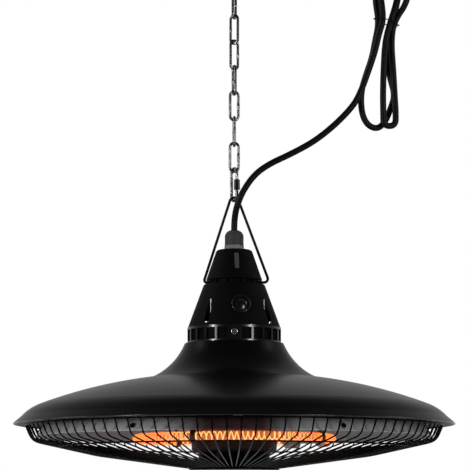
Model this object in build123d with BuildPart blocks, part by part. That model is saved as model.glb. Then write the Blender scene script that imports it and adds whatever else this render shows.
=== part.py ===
from build123d import *
import math
import os

# Hanging infrared patio heater, millimetres, +Z up.
# The origin is the middle of the ceiling plate's top face, where it meets the ceiling.
# Heights of the heater itself are given above the rim of its shade.

# Ceiling plate and the two hooks
plate_radius = 32.0
plate_thickness = 4.0
plate_edge_round = 1.2
plate_hole_spacing = 44.0
plate_hole_radius = 2.25
hook_wire = 5.0
hook_drop = 60.0
hook_shank = 22.0
hook_half_width = 11.2
hook_opening = 20.0
hook_bend = 7.0
hook_fit = 0.05
hook_sink = 0.5
hook_corner_play = 0.1
cord_hook_x = 207.0
cord_hook_wire = 4.0
cord_hook_drop = 65.3
cord_hook_half_width = 20.0
cord_hook_opening = 22.0
cord_hook_corner = 8.0
cord_hook_collar_radius = 11.0
cord_hook_collar_thickness = 2.5

# Chain: each link's turn about the vertical, from the ceiling down
link_wire = 3.0
link_length = 40.6
link_width = 13.4
link_turns = (0, 80, -10, 70, 149, 31, 107, 15, 95, -2)
hang_play = 0.3

# Quick link at the foot of the chain
quick_wire = 4.0
quick_length = 47.0
quick_width = 19.0
quick_turn = -62
quick_gate_low = -0.5
quick_gate_high = 4.5
sleeve_flats = 7.0
sleeve_length = 14.0
sleeve_low = -8.0
sleeve_bore_play = 0.05
sleeve_chamfer = 0.5

# Wire bail
bail_wire = 3.6
bail_height = 124.22
bail_half_width = 43.0
bail_shift = 3.0
bail_apex_shift = 0.33
bail_foot_bends = (3.0, 5.0)
bail_top_bend = 6.0
bail_play = 0.6
bail_foot_reach = 24.5
bail_bore_play = 0.15
pivot_height = 185.4

# Two-stage housing
front_turn = 7.0
upper_bottom = 188.2
upper_bottom_radius = 36.6
upper_top = 228.0
upper_top_radius = 22.9
upper_wall = 2.2
upper_floor = 2.2
upper_floor_hole = 20.0
upper_edge_round = 5.0
latch_slot_width = 7.8
latch_slot_low = 200.5
latch_slot_high = 222.8
latch_gap = 1.0
latch_step = 205.2
latch_step_gap = 1.2
latch_inside = 1.6
latch_recess = 0.6
latch_leg_inset = 0.8
latch_leg_overlap = 6.0
latch_leg_thickness = 2.2
bracket_bottom = 182.6
bracket_outer = 31.0
bracket_inner = 22.0
bracket_slots = 12
bracket_slot_width = 4.0
bracket_slot_height = 3.2
bracket_screws = 4
bracket_screw_ring = 26.5
lower_top_radius = 39.6
lower_bottom = 125.6
lower_bottom_radius = 60.45
lower_wall = 2.4
lower_top_hole = 19.0
lower_edge_round = 3.0
channel_ring = 52.4
channel_radius = 4.0
channel_wall = 2.0
channel_seat = 129.0
channel_count = 4
channel_screw_ring = 56.5
channel_screw_reach = 3.0

# Screws
screw_radius = 1.5
screw_hole_radius = 1.6
screw_head_radius = 3.0
screw_head_height = 2.0
screw_slot_width = 0.8
screw_slot_depth = 0.8
screw_head_round = 0.8
screw_slot_share = 1.4

# Push button on the lower housing
button_turn = 10.0
button_height = 152.6
button_radius = 9.2
button_proud = 3.0
button_inside = 6.0
button_flange = 1.2
button_play = 0.1
button_travel = 1.5
bezel_radius = 12.4
bezel_proud = 1.6
bezel_inside = 4.0
bezel_round = 1.0
bezel_lip = 1.4
bezel_seat = 0.15
bezel_fit = 0.05
board_depth = 15.5
board_thickness = 1.6
board_width = 36.0
board_above = 15.0
board_below = 16.5
board_part_places = ((-9.0, 6.0), (8.0, -4.0))
board_part_size = 11.0
board_part_height = 6.0
switch_size = 12.0
switch_height = 6.5
switch_chamfer = 0.6
plunger_radius = 1.7
plunger_length = 3.2
plunger_play = 0.06
part_gap = 0.3

# Cable gland
cord_radius = 4.0
gland_hex = 22.0
gland_hex_height = 6.0
gland_thread_radius = 8.0
gland_thread_below = 8.0
gland_bore = 4.9
gland_neck_radius = 9.0
gland_neck_height = 6.0
gland_nut_radius = 12.3
gland_nut_height = 19.0
gland_nut_dome = 7.0
gland_nut_mouth = 6.4
gland_nut_lip = 1.2
gland_dome_share = 1.3
gland_seal_low = 12.5
gland_seal_proud = 0.6
gland_fit = 0.05
gland_seat_rise = 1.0
gland_seat_drop = 3.0
locknut_hex = 20.0
locknut_height = 4.0
locknut_recess = 0.8

# Tray and terminal block inside the housing
tray_radius = 56.0
tray_thickness = 2.0
tray_hole = 13.0
terminal_length = 30.0
terminal_width = 14.0
terminal_height = 20.0
terminal_y = 22.0
terminal_round = 1.5
terminal_pitch = 9.0
terminal_well_radius = 2.6
terminal_well_depth = 6.0

# Vent ring
vent_bottom = 105.3
vent_radius = 61.1
vent_wall = 2.5
vent_flange = 2.0
vent_flange_inner = 43.0
vent_top_band = 3.0
vent_top_inner = 48.0
vent_sleeve_wall = 2.0
vent_bars = 24
vent_bar_width = 3.0
vent_block_turn = 0.3
vent_screw_height = 116.1
vent_screw_head = 4.2
vent_screw_length = 10.0
vent_screw_gap = 0.1
vent_boss_radius = 4.0
vent_boss_depth = 4.0
vent_boss_length = 3.0

# Shade of spun steel: neck, crease, shoulder, edge roll and flared lip
shade_wall = 1.2
shade_hole = 43.0
neck_radius = 64.3
neck_sagitta = 6.15
crease_radius = 108.4
crease_height = 60.8
dome_sagitta = 4.4
shoulder_radius = 251.7
shoulder_height = 25.5
edge_radius = 274.6
edge_height = 9.8
rim_radius = 284.8
lip_height = 1.2
shade_screws = 8
shade_screw_ring = 50.0
shade_screw_length = 14.0

# Hanger frame between the shade's neck and the reflector
hanger_plate_radius = 60.0
hanger_plate = 2.0
hanger_tube_inner = 12.0
hanger_tube_wall = 2.0
hanger_flange_radius = 32.0
hanger_window_height = 12.0
hanger_window_width = 14.0

# Reflector and the cup under it
reflector_top = 29.0
reflector_wall = 1.0
reflector_flat_radius = 232.0
reflector_skirt_radius = 253.0
reflector_bottom = -16.0
reflector_lip = 3.0
reflector_hole = 11.0
reflector_screws = 4
reflector_screw_ring = 26.0
reflector_screw_length = 8.0
strap_count = 4
strap_turn = 20.0
strap_height = 6.0
strap_thickness = 1.2
strap_width = 12.0
cup_radius = 56.5
cup_foot_radius = 55.0
cup_bottom = -35.0
cup_wall = 1.2
cup_flange_radius = 63.3
cup_corner = 3.0
cup_screws = 4
cup_screw_ring = 60.0
cup_screw_length = 4.0

# Ring-shaped heating element
element_radius = 125.7
element_height = -18.0
tube_radius = 6.5
tube_wall = 1.2
element_gap_turn = 37.0
element_gap_angle = 30.0
coil_radius = 4.7
coil_wire = 0.9
coil_turns = 100
coil_end_turn = 7.0
coil_sample_turns = 4
coil_samples_a_turn = 40
cap_radius = 9.0
cap_length = 16.0
cap_overlap = 9.0
cap_post_width = 12.0
cap_fit = 0.05
cap_post_sink = 2.0
clip_turns = (128.0, 247.0, 329.0)
clip_band = 0.8
clip_width = 7.0
lead_radius = 1.5
lead_hole = 3.0
lead_inset = 2.0
lead_bend = 5.0
lead_start_height = 134.0
lead_spread = 5.0
lead_height = 39.0
lead_exit_radius = 20.0
lead_exit_spread = 3.0
lead_end_height = -14.0

# Wire guard under the shade
guard_wires = 96
guard_wire = 2.0
guard_top_radius = 268.0
guard_top_band = 3.0
guard_corner_radius = 259.3
guard_corner_height = -20.0
guard_mid_radius = 178.0
guard_mid_height = -38.2
guard_inner_radius = 56.0
guard_inner_height = -54.0
guard_ring_width = 3.0
guard_ring_radii = (226.0,)
guard_hub_width = 3.0
disc_thickness = 2.2
disc_radius = 58.6
disc_corner = 1.0
hub_radius = 46.0
hub_wall = 2.0
guard_tab_count = 6
guard_tab_angle = 2.0
guard_tab_turn = 30.0
guard_tab_top = 6.0
guard_tab_foot = 1.0
guard_tab_thickness = 1.4
guard_seat_gap = 0.15

# Thermal cut-out on the reflector
cutout_radius = 8.0
cutout_height = 7.0
cutout_ring = 78.0
cutout_turn = 200.0
cutout_round = 1.0
cutout_strap_width = 4.0
cutout_strap_length = 25.6
cutout_strap_thickness = 0.8

# Tie round the hank, and the plug on the cord's end
tie_wire = 1.4
tie_gap = 2.5
tie_lean = 15.0
tie_nub = 1.5
waist_points = (1, 21, 10, 45, 30)
hank_steps = 700
cord_straight = 0.45
cord_inner_bend = 12.0
cord_skip = 6.0
tie_samples = 90
plug_top = 650.0
plug_round = 3.0
plug_pin_depth = 6.0
plug_radius = 18.5
plug_neck_radius = 8.0
plug_neck_length = 10.0
plug_body_length = 34.0
plug_pin_radius = 2.4
plug_pin_spacing = 19.0
plug_pin_length = 19.0

# Places that follow from the sizes above, from the ceiling down
hook_low = -hook_drop
link_drop = link_length - link_wire
first_link_top = hook_low + (hook_wire + link_wire) / 2 + hang_play
link_pitch = link_drop - link_wire - hang_play
link_tops = [first_link_top - link_pitch * number for number in range(len(link_turns))]
quick_top = link_tops[-1] - link_drop + (link_wire + quick_wire) / 2 + hang_play
quick_drop = quick_length - quick_wire
quick_middle = quick_top - quick_drop / 2
bail_top = quick_top - quick_drop + (quick_wire + bail_wire) / 2 + bail_play
bail_side = math.hypot(bail_height, bail_half_width)
bail_rise = bail_height - bail_top_bend * (bail_side / bail_half_width - 1)
pivot_z = bail_top - bail_rise
rim_z = pivot_z - pivot_height

upper_slope = (upper_bottom_radius - upper_top_radius) / (upper_top - upper_bottom)
lower_top = bracket_bottom
lower_slope = (lower_bottom_radius - lower_top_radius) / (lower_top - lower_bottom)
screw_turn = 45.0
element_start = element_gap_turn + element_gap_angle / 2
element_sweep = 360 - element_gap_angle
lead_turns = [
    element_gap_turn + side * (element_gap_angle / 2 - lead_inset) for side in (-1, 1)
]
reflector_slope = (reflector_skirt_radius - reflector_flat_radius) / (
    reflector_top - reflector_bottom - reflector_wall
)

profile = Plane(origin=(0, 0, rim_z), x_dir=(1, 0, 0), z_dir=(0, -1, 0))
rim = Plane(origin=(0, 0, rim_z))

os.makedirs("parts", exist_ok=True)


def save(piece, name):
    """Label a finished piece and write it to its own file."""
    piece.part.label = name
    export_step(piece.part, f"parts/{name}.step")


def upper_radius(height):
    """Outer radius of the upper housing cone at a height above the rim."""
    return upper_bottom_radius - upper_slope * (height - upper_bottom)


def lower_radius(height):
    """Outer radius of the lower housing cone at a height above the rim."""
    return lower_bottom_radius - lower_slope * (height - lower_bottom)


def front_plane(turn):
    """Upright plane through the heater's axis, facing the front turned by an angle."""
    angle = math.radians(turn)
    return Plane(
        origin=(0, 0, rim_z),
        x_dir=(math.cos(angle), math.sin(angle), 0),
        z_dir=(math.sin(angle), -math.cos(angle), 0),
    )


def turned_wall(points):
    """Solid turned about the vertical axis from an outline of radius and height."""
    with BuildPart() as wall:
        with BuildSketch(profile):
            with BuildLine():
                Polyline(*points, close=True)
            make_face()
        revolve(axis=Axis.Z)
    return wall.part


def wire_along(points, bends, radius, plane=Plane.XY):
    """Round wire along straight runs joined by tangent arcs."""
    with BuildPart() as wire:
        with BuildLine(plane) as path:
            FilletPolyline(*points, radius=bends)
        with BuildSketch(Plane(origin=path.line @ 0, z_dir=path.line % 0)):
            Circle(radius)
        sweep()
    return wire.part


def pan_screw(length, head_radius=screw_head_radius):
    """Slotted pan-head screw, head above the local origin and shank below it."""
    with BuildPart() as screw:
        Cylinder(head_radius, screw_head_height, align=(Align.CENTER, Align.CENTER, Align.MIN))
        fillet(screw.edges().group_by(Axis.Z)[-1], screw_head_round)
        Cylinder(screw_radius, length, align=(Align.CENTER, Align.CENTER, Align.MAX))
        with Locations((0, 0, screw_head_height)):
            Box(
                head_radius * screw_slot_share,
                screw_slot_width,
                screw_slot_depth * 2,
                mode=Mode.SUBTRACT,
            )
    return screw.part


# Ceiling plate with two screw holes and the hole for the hook's shank
with BuildPart() as ceiling_plate:
    with BuildSketch():
        Circle(plate_radius)
        Circle(hook_wire / 2 + hook_fit, mode=Mode.SUBTRACT)
        with GridLocations(plate_hole_spacing, 1, 2, 1):
            Circle(plate_hole_radius, mode=Mode.SUBTRACT)
    extrude(amount=-plate_thickness)
    rim_edge = ceiling_plate.edges().filter_by(GeomType.CIRCLE).sort_by(SortBy.RADIUS)[-2:]
    fillet(rim_edge.sort_by(Axis.Z)[0], plate_edge_round)
save(ceiling_plate, "ceiling_plate")


def hook_part(centre_x, wire, drop, half_width, opening, corner, shank):
    """Open hook in the plane across the front, with its lowest wire on the axis."""
    sideways = Plane(origin=(centre_x, 0, 0), x_dir=(0, 1, 0), z_dir=(1, 0, 0))
    points = (
        (0, -hook_sink),
        (0, -shank),
        (half_width, -shank - half_width),
        (half_width, -drop),
        (-half_width, -drop),
        (-half_width, opening - drop),
    )
    with BuildPart() as hook:
        add(wire_along(points, [hook_bend, hook_bend, corner, corner], wire / 2, sideways))
        with Locations((centre_x, -half_width, opening - drop)):
            Sphere(wire / 2)
    return hook.part


with BuildPart() as ceiling_hook:
    add(
        hook_part(
            0,
            hook_wire,
            hook_drop,
            hook_half_width,
            hook_opening,
            hook_half_width - hook_corner_play,
            hook_shank,
        )
    )
save(ceiling_hook, "ceiling_hook")

# Second hook, with its own collar, that carries the spare cord
with BuildPart() as cord_hook:
    add(
        hook_part(
            cord_hook_x,
            cord_hook_wire,
            cord_hook_drop,
            cord_hook_half_width,
            cord_hook_opening,
            cord_hook_corner,
            hook_shank,
        )
    )
    with Locations((cord_hook_x, 0, 0)):
        Cylinder(
            cord_hook_collar_radius,
            cord_hook_collar_thickness,
            align=(Align.CENTER, Align.CENTER, Align.MAX),
        )
save(cord_hook, "cord_hook")


def loop_plane(turn, middle):
    """Upright plane of a chain link, turned about the vertical."""
    angle = math.radians(turn)
    return Plane(
        origin=(0, 0, middle),
        x_dir=(math.cos(angle), math.sin(angle), 0),
        z_dir=(math.sin(angle), -math.cos(angle), 0),
    )


# Ten welded chain links
for number, (turn, top) in enumerate(zip(link_turns, link_tops), start=1):
    half_straight = (link_length - link_width) / 2
    bend = (link_width - link_wire) / 2
    with BuildPart() as chain_link:
        with BuildLine(loop_plane(turn, top - link_drop / 2)) as loop:
            Line((bend, -half_straight), (bend, half_straight))
            CenterArc((0, half_straight), bend, 0, 180)
            Line((-bend, half_straight), (-bend, -half_straight))
            CenterArc((0, -half_straight), bend, 180, 180)
        with BuildSketch(Plane(origin=loop.line @ 0, z_dir=loop.line % 0)):
            Circle(link_wire / 2)
        sweep()
    save(chain_link, f"chain_link_{number:02d}")

# Quick link with its gate open under the sleeve
quick_plane = loop_plane(quick_turn, quick_middle)
quick_half_straight = (quick_length - quick_width) / 2
quick_bend = (quick_width - quick_wire) / 2
with BuildPart() as quick_link:
    with BuildLine(quick_plane) as loop:
        Line((quick_bend, quick_gate_high), (quick_bend, quick_half_straight))
        CenterArc((0, quick_half_straight), quick_bend, 0, 180)
        Line((-quick_bend, quick_half_straight), (-quick_bend, -quick_half_straight))
        CenterArc((0, -quick_half_straight), quick_bend, 180, 180)
        Line((quick_bend, -quick_half_straight), (quick_bend, quick_gate_low))
    with BuildSketch(Plane(origin=loop.line @ 0, z_dir=loop.line % 0)):
        Circle(quick_wire / 2)
    sweep()
save(quick_link, "quick_link")

sleeve_foot = quick_plane.from_local_coords(Vector(quick_bend, sleeve_low, 0))
with BuildPart() as quick_link_sleeve:
    with BuildSketch(Plane(origin=sleeve_foot, x_dir=quick_plane.x_dir, z_dir=(0, 0, 1))):
        RegularPolygon(sleeve_flats / 2, 6, major_radius=False)
        Circle(quick_wire / 2 + sleeve_bore_play, mode=Mode.SUBTRACT)
    extrude(amount=sleeve_length)
    chamfer(quick_link_sleeve.edges().filter_by(GeomType.LINE).group_by(Axis.Z)[0], sleeve_chamfer)
    chamfer(quick_link_sleeve.edges().filter_by(GeomType.LINE).group_by(Axis.Z)[-1], sleeve_chamfer)
save(quick_link_sleeve, "quick_link_sleeve")

# Bail: one bent wire whose feet turn in to the pivot bores
bail_plane = Plane(origin=(0, 0, pivot_z), x_dir=(1, 0, 0), z_dir=(0, -1, 0))
with BuildPart() as bail:
    add(
        wire_along(
            (
                (-bail_foot_reach, 0),
                (bail_shift - bail_half_width, 0),
                (-bail_apex_shift, bail_height),
                (bail_shift + bail_half_width, 0),
                (bail_foot_reach, 0),
            ),
            [bail_foot_bends[0], bail_top_bend, bail_foot_bends[1]],
            bail_wire / 2,
            bail_plane,
        )
    )
save(bail, "bail")

# Cable gland: hex body, domed nut, rubber seal and the locknut inside
gland_bottom = upper_top
with BuildPart() as gland_body:
    with BuildSketch(rim.offset(gland_bottom)):
        RegularPolygon(gland_hex / 2, 6, major_radius=False)
    extrude(amount=gland_hex_height)
    with BuildSketch(rim.offset(gland_bottom)):
        Circle(gland_thread_radius)
    extrude(amount=-gland_thread_below)
    with BuildSketch(rim.offset(gland_bottom + gland_hex_height)):
        Circle(gland_neck_radius)
    extrude(amount=gland_neck_height)
    with BuildSketch(rim.offset(gland_bottom - gland_thread_below)):
        Circle(gland_bore)
    extrude(amount=gland_thread_below + gland_hex_height + gland_neck_height, mode=Mode.SUBTRACT)
save(gland_body, "gland_body")

nut_foot = gland_bottom + gland_hex_height
nut_top = nut_foot + gland_nut_height
gland_seat_top = nut_top - gland_nut_dome + gland_seat_rise
gland_seat_low = gland_seat_top - gland_seat_drop
with BuildPart() as gland_nut:
    with BuildSketch(profile):
        with BuildLine():
            Line((gland_neck_radius + gland_fit, nut_foot), (gland_nut_radius, nut_foot))
            Line((gland_nut_radius, nut_foot), (gland_nut_radius, nut_top - gland_nut_dome))
            RadiusArc(
                (gland_nut_radius, nut_top - gland_nut_dome),
                (gland_nut_mouth + gland_nut_lip, nut_top),
                -gland_nut_dome * gland_dome_share,
            )
            Line((gland_nut_mouth + gland_nut_lip, nut_top), (gland_nut_mouth, nut_top))
            Line((gland_nut_mouth, nut_top), (gland_nut_mouth, gland_seat_top))
            Line(
                (gland_nut_mouth, gland_seat_top),
                (gland_neck_radius + gland_fit, gland_seat_low),
            )
            Line(
                (gland_neck_radius + gland_fit, gland_seat_low),
                (gland_neck_radius + gland_fit, nut_foot),
            )
        make_face()
    revolve(axis=Axis.Z)
save(gland_nut, "gland_nut")

seal_foot = gland_bottom + gland_seal_low
with BuildPart() as gland_seal:
    with BuildSketch(rim.offset(seal_foot)):
        Circle(gland_nut_mouth - gland_fit)
        Circle(cord_radius + gland_fit, mode=Mode.SUBTRACT)
    extrude(amount=nut_top + gland_seal_proud - seal_foot)
save(gland_seal, "gland_seal")

locknut_top = upper_top - upper_wall - locknut_recess
with BuildPart() as gland_locknut:
    with BuildSketch(rim.offset(locknut_top)):
        RegularPolygon(locknut_hex / 2, 6, major_radius=False)
        Circle(gland_thread_radius + gland_fit, mode=Mode.SUBTRACT)
    extrude(amount=-locknut_height)
save(gland_locknut, "gland_locknut")

# Upper housing cone with a floor that sits on the bail bracket
upper_inner_top = locknut_top
with BuildPart() as upper_cone:
    with BuildSketch(profile) as section:
        with BuildLine():
            Polyline(
                (gland_thread_radius + gland_fit, upper_top),
                (upper_top_radius, upper_top),
                (upper_bottom_radius, upper_bottom),
                (upper_floor_hole, upper_bottom),
                (upper_floor_hole, upper_bottom + upper_floor),
                (upper_radius(upper_bottom + upper_floor) - upper_wall, upper_bottom + upper_floor),
                (upper_radius(upper_inner_top) - upper_wall, upper_inner_top),
                (gland_thread_radius + gland_fit, upper_inner_top),
                close=True,
            )
        make_face()
        corner = section.vertices().sort_by_distance((upper_top_radius, upper_top, 0))[0]
        fillet(corner, upper_edge_round)
    revolve(axis=Axis.Z)
    with BuildSketch(front_plane(front_turn)):
        with Locations((0, (latch_slot_low + latch_slot_high) / 2)):
            Rectangle(latch_slot_width, latch_slot_high - latch_slot_low)
    extrude(amount=upper_bottom_radius, mode=Mode.SUBTRACT)
    with BuildSketch(rim.offset(upper_bottom)):
        with PolarLocations(bracket_screw_ring, bracket_screws, start_angle=screw_turn):
            Circle(screw_hole_radius)
    extrude(amount=upper_floor, mode=Mode.SUBTRACT)
save(upper_cone, "upper_cone")

# Snap latch: a tongue in the slot on a leg that stands on the housing's floor
latch_width = latch_slot_width - 2 * latch_gap
latch_low = latch_slot_low + latch_gap
latch_high = latch_slot_high - latch_gap
with BuildPart() as cone_latch:
    add(
        turned_wall(
            (
                (upper_radius(latch_low) - upper_wall - latch_inside, latch_low),
                (upper_radius(latch_low) - latch_recess, latch_low),
                (upper_radius(latch_high) - latch_recess, latch_high),
                (upper_radius(latch_high) - upper_wall - latch_inside, latch_high),
            )
        )
    )
    with BuildSketch(front_plane(front_turn)):
        with Locations((0, (latch_low + latch_high) / 2)):
            Rectangle(latch_width, latch_high - latch_low)
        with Locations((0, latch_step)):
            Rectangle(latch_width, latch_step_gap, mode=Mode.SUBTRACT)
    extrude(amount=upper_bottom_radius, mode=Mode.INTERSECT)
    leg_outer = upper_radius(latch_low) - upper_wall - latch_leg_inset
    leg_foot = upper_bottom + upper_floor
    with BuildSketch(front_plane(front_turn).offset(leg_outer)):
        with Locations((0, leg_foot)):
            Rectangle(
                latch_width,
                latch_low + latch_leg_overlap - leg_foot,
                align=(Align.CENTER, Align.MIN),
            )
    extrude(amount=-latch_leg_thickness)
save(cone_latch, "cone_latch")

# Bail bracket: slotted ring between the cones with a cross bore for the bail's feet
with BuildPart() as bail_bracket:
    with BuildSketch(rim.offset(bracket_bottom)):
        Circle(bracket_outer)
        Circle(bracket_inner, mode=Mode.SUBTRACT)
        with PolarLocations(bracket_screw_ring, bracket_screws, start_angle=screw_turn):
            Circle(screw_hole_radius, mode=Mode.SUBTRACT)
    extrude(amount=upper_bottom - bracket_bottom)
    slot_step = 360 / bracket_slots
    with Locations((0, 0, rim_z + pivot_height)):
        with PolarLocations((bracket_outer + bracket_inner) / 2, bracket_slots, slot_step / 2):
            Box(
                2 * (bracket_outer - bracket_inner),
                bracket_slot_width,
                bracket_slot_height,
                mode=Mode.SUBTRACT,
            )
    with Locations((0, 0, rim_z + pivot_height)):
        Cylinder(
            bail_wire / 2 + bail_bore_play,
            3 * bracket_outer,
            rotation=(0, 90, 0),
            mode=Mode.SUBTRACT,
        )
save(bail_bracket, "bail_bracket")

# Screws that clamp both cones to the bracket, driven from inside the upper one
bracket_screw_length = upper_bottom + upper_floor - lower_top + lower_wall
with BuildPart() as bracket_screw_set:
    screw = pan_screw(bracket_screw_length)
    with Locations((0, 0, rim_z + upper_bottom + upper_floor)):
        with PolarLocations(bracket_screw_ring, bracket_screws, start_angle=screw_turn):
            add(screw)
save(bracket_screw_set, "bracket_screws")

# Lower housing cone with four screw channels and the button's seat
button_angle = math.radians(button_turn)
lean = math.atan(lower_slope)
button_out = Vector(
    math.sin(button_angle) * math.cos(lean),
    -math.cos(button_angle) * math.cos(lean),
    math.sin(lean),
)
button_face = Vector(
    lower_radius(button_height) * math.sin(button_angle),
    -lower_radius(button_height) * math.cos(button_angle),
    rim_z + button_height,
)
button_plane = Plane(
    origin=button_face,
    x_dir=(math.cos(button_angle), math.sin(button_angle), 0),
    z_dir=button_out,
)
channel_start = front_turn - 90 + screw_turn
lower_wall_across = lower_wall * math.hypot(1, lower_slope)
lower_inner_top = lower_top - lower_wall


def channel_slots(grow, mode=Mode.ADD):
    """Draw the radial screw channels, open outwards and grown by a margin."""
    with PolarLocations(0, channel_count, start_angle=channel_start):
        with Locations((channel_ring, 0)):
            Circle(channel_radius + grow, mode=mode)
            Rectangle(
                lower_bottom_radius,
                2 * (channel_radius + grow),
                align=(Align.MIN, Align.CENTER),
                mode=mode,
            )


with BuildPart() as lower_cone:
    with BuildSketch(profile) as section:
        with BuildLine():
            Polyline(
                (lower_top_hole, lower_top),
                (lower_top_radius, lower_top),
                (lower_bottom_radius, lower_bottom),
                (0, lower_bottom),
                (0, lower_top),
                close=False,
            )
            Line((0, lower_top), (lower_top_hole, lower_top))
        make_face()
        corner = section.vertices().sort_by_distance((lower_top_radius, lower_top, 0))[0]
        fillet(corner, lower_edge_round)
    revolve(axis=Axis.Z)
    with BuildPart(mode=Mode.PRIVATE) as hollow:
        add(
            turned_wall(
                (
                    (0, lower_bottom),
                    (lower_bottom_radius - lower_wall_across, lower_bottom),
                    (lower_radius(lower_inner_top) - lower_wall_across, lower_inner_top),
                    (0, lower_inner_top),
                )
            )
        )
        with BuildSketch(rim.offset(lower_bottom)):
            channel_slots(channel_wall)
        extrude(amount=lower_top - lower_bottom, mode=Mode.SUBTRACT)
    add(hollow.part, mode=Mode.SUBTRACT)
    with BuildSketch(rim.offset(lower_inner_top)):
        Circle(lower_top_hole)
        with PolarLocations(bracket_screw_ring, bracket_screws, start_angle=screw_turn):
            Circle(screw_hole_radius)
    extrude(amount=lower_wall, mode=Mode.SUBTRACT)
    with BuildSketch(rim.offset(channel_seat)):
        channel_slots(0)
    extrude(amount=lower_top - channel_seat, mode=Mode.SUBTRACT)
    with BuildSketch(rim.offset(lower_bottom)):
        with PolarLocations(channel_screw_ring, channel_count, start_angle=channel_start):
            Circle(screw_hole_radius)
    extrude(amount=channel_seat - lower_bottom, mode=Mode.SUBTRACT)
    with BuildSketch(button_plane.offset(-button_radius)):
        Circle(bezel_radius - bezel_lip)
    extrude(amount=2 * button_radius, mode=Mode.SUBTRACT)
save(lower_cone, "lower_cone")

# Screws at the foot of the channels, into the vent ring
channel_screw_length = channel_seat - lower_bottom + vent_flange + channel_screw_reach
with BuildPart() as channel_screws:
    screw = pan_screw(channel_screw_length)
    with Locations((0, 0, rim_z + channel_seat)):
        with PolarLocations(channel_screw_ring, channel_count, start_angle=channel_start):
            add(screw)
save(channel_screws, "channel_screws")

# Bezel, domed push button, plunger, switch and board, along the button's own axis
bezel_bore = button_radius + button_play
bezel_neck = bezel_radius - bezel_lip - bezel_fit
with BuildPart() as button_bezel:
    with BuildSketch(button_plane.offset(bezel_seat)):
        Circle(bezel_radius)
        Circle(bezel_bore, mode=Mode.SUBTRACT)
    extrude(amount=bezel_proud)
    front_edges = button_bezel.edges().group_by(Axis(button_plane.origin, button_plane.z_dir))[-1]
    fillet(front_edges.sort_by(SortBy.LENGTH)[-1], bezel_round)
    with BuildSketch(button_plane.offset(bezel_seat)):
        Circle(bezel_neck)
        Circle(bezel_bore, mode=Mode.SUBTRACT)
    extrude(amount=-bezel_inside)
save(button_bezel, "button_bezel")

dome_sphere = (button_radius**2 + button_proud**2) / (2 * button_proud)
with BuildPart() as power_button:
    with BuildSketch(button_plane.offset(-button_inside)):
        Circle(button_radius)
    extrude(amount=button_inside)
    with BuildSketch(button_plane.offset(-button_inside)):
        Circle(button_radius + button_flange)
    extrude(amount=button_flange - button_play)
    dome_middle = button_plane.from_local_coords(Vector(0, 0, button_proud - dome_sphere))
    with BuildPart(mode=Mode.PRIVATE) as dome:
        with Locations(Location(dome_middle)):
            Sphere(dome_sphere)
        with BuildSketch(button_plane):
            Circle(button_radius)
        extrude(amount=button_proud, mode=Mode.INTERSECT)
    add(dome.part)
save(power_button, "power_button")

plunger_top = -button_inside - part_gap
switch_top = -board_depth + switch_height
with BuildPart() as switch_plunger:
    with BuildSketch(button_plane.offset(plunger_top)):
        Circle(plunger_radius)
    extrude(amount=-plunger_length)
save(switch_plunger, "switch_plunger")

with BuildPart() as push_switch:
    with BuildSketch(button_plane.offset(-board_depth)):
        Rectangle(switch_size, switch_size)
    extrude(amount=switch_height)
    outward = Axis(button_plane.origin, button_plane.z_dir)
    chamfer(push_switch.edges().group_by(outward)[-1], switch_chamfer)
    with BuildSketch(button_plane.offset(switch_top)):
        Circle(plunger_radius + plunger_play)
    plunger_foot = plunger_top - plunger_length - button_travel - part_gap
    extrude(amount=plunger_foot - switch_top, mode=Mode.SUBTRACT)
save(push_switch, "push_switch")

with BuildPart() as control_board:
    with BuildSketch(button_plane.offset(-board_depth)):
        with Locations((0, (board_above - board_below) / 2)):
            Rectangle(board_width, board_above + board_below)
    extrude(amount=-board_thickness)
    with BuildSketch(button_plane.offset(-board_depth - board_thickness)):
        for across, along in board_part_places:
            with Locations((across, along)):
                Rectangle(board_part_size, board_part_size)
    extrude(amount=-board_part_height)
save(control_board, "control_board")

# Tray that closes the housing from below and carries the board and the terminals
tray_bottom = lower_bottom
with BuildPart() as control_tray:
    with BuildSketch(rim.offset(tray_bottom)):
        Circle(tray_radius)
        Circle(tray_hole, mode=Mode.SUBTRACT)
        channel_slots(channel_wall + part_gap, Mode.SUBTRACT)
    extrude(amount=tray_thickness)
save(control_tray, "control_tray")

tray_top = tray_bottom + tray_thickness
with BuildPart() as terminal_block:
    with Locations((0, terminal_y, rim_z + tray_top)):
        Box(
            terminal_length,
            terminal_width,
            terminal_height,
            align=(Align.CENTER, Align.CENTER, Align.MIN),
        )
    fillet(terminal_block.edges().filter_by(Axis.Z), terminal_round)
    with Locations((0, terminal_y, rim_z + tray_top + terminal_height)):
        with GridLocations(terminal_pitch, 1, 3, 1):
            Cylinder(terminal_well_radius, terminal_well_depth, mode=Mode.SUBTRACT)
save(terminal_block, "terminal_block")

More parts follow.
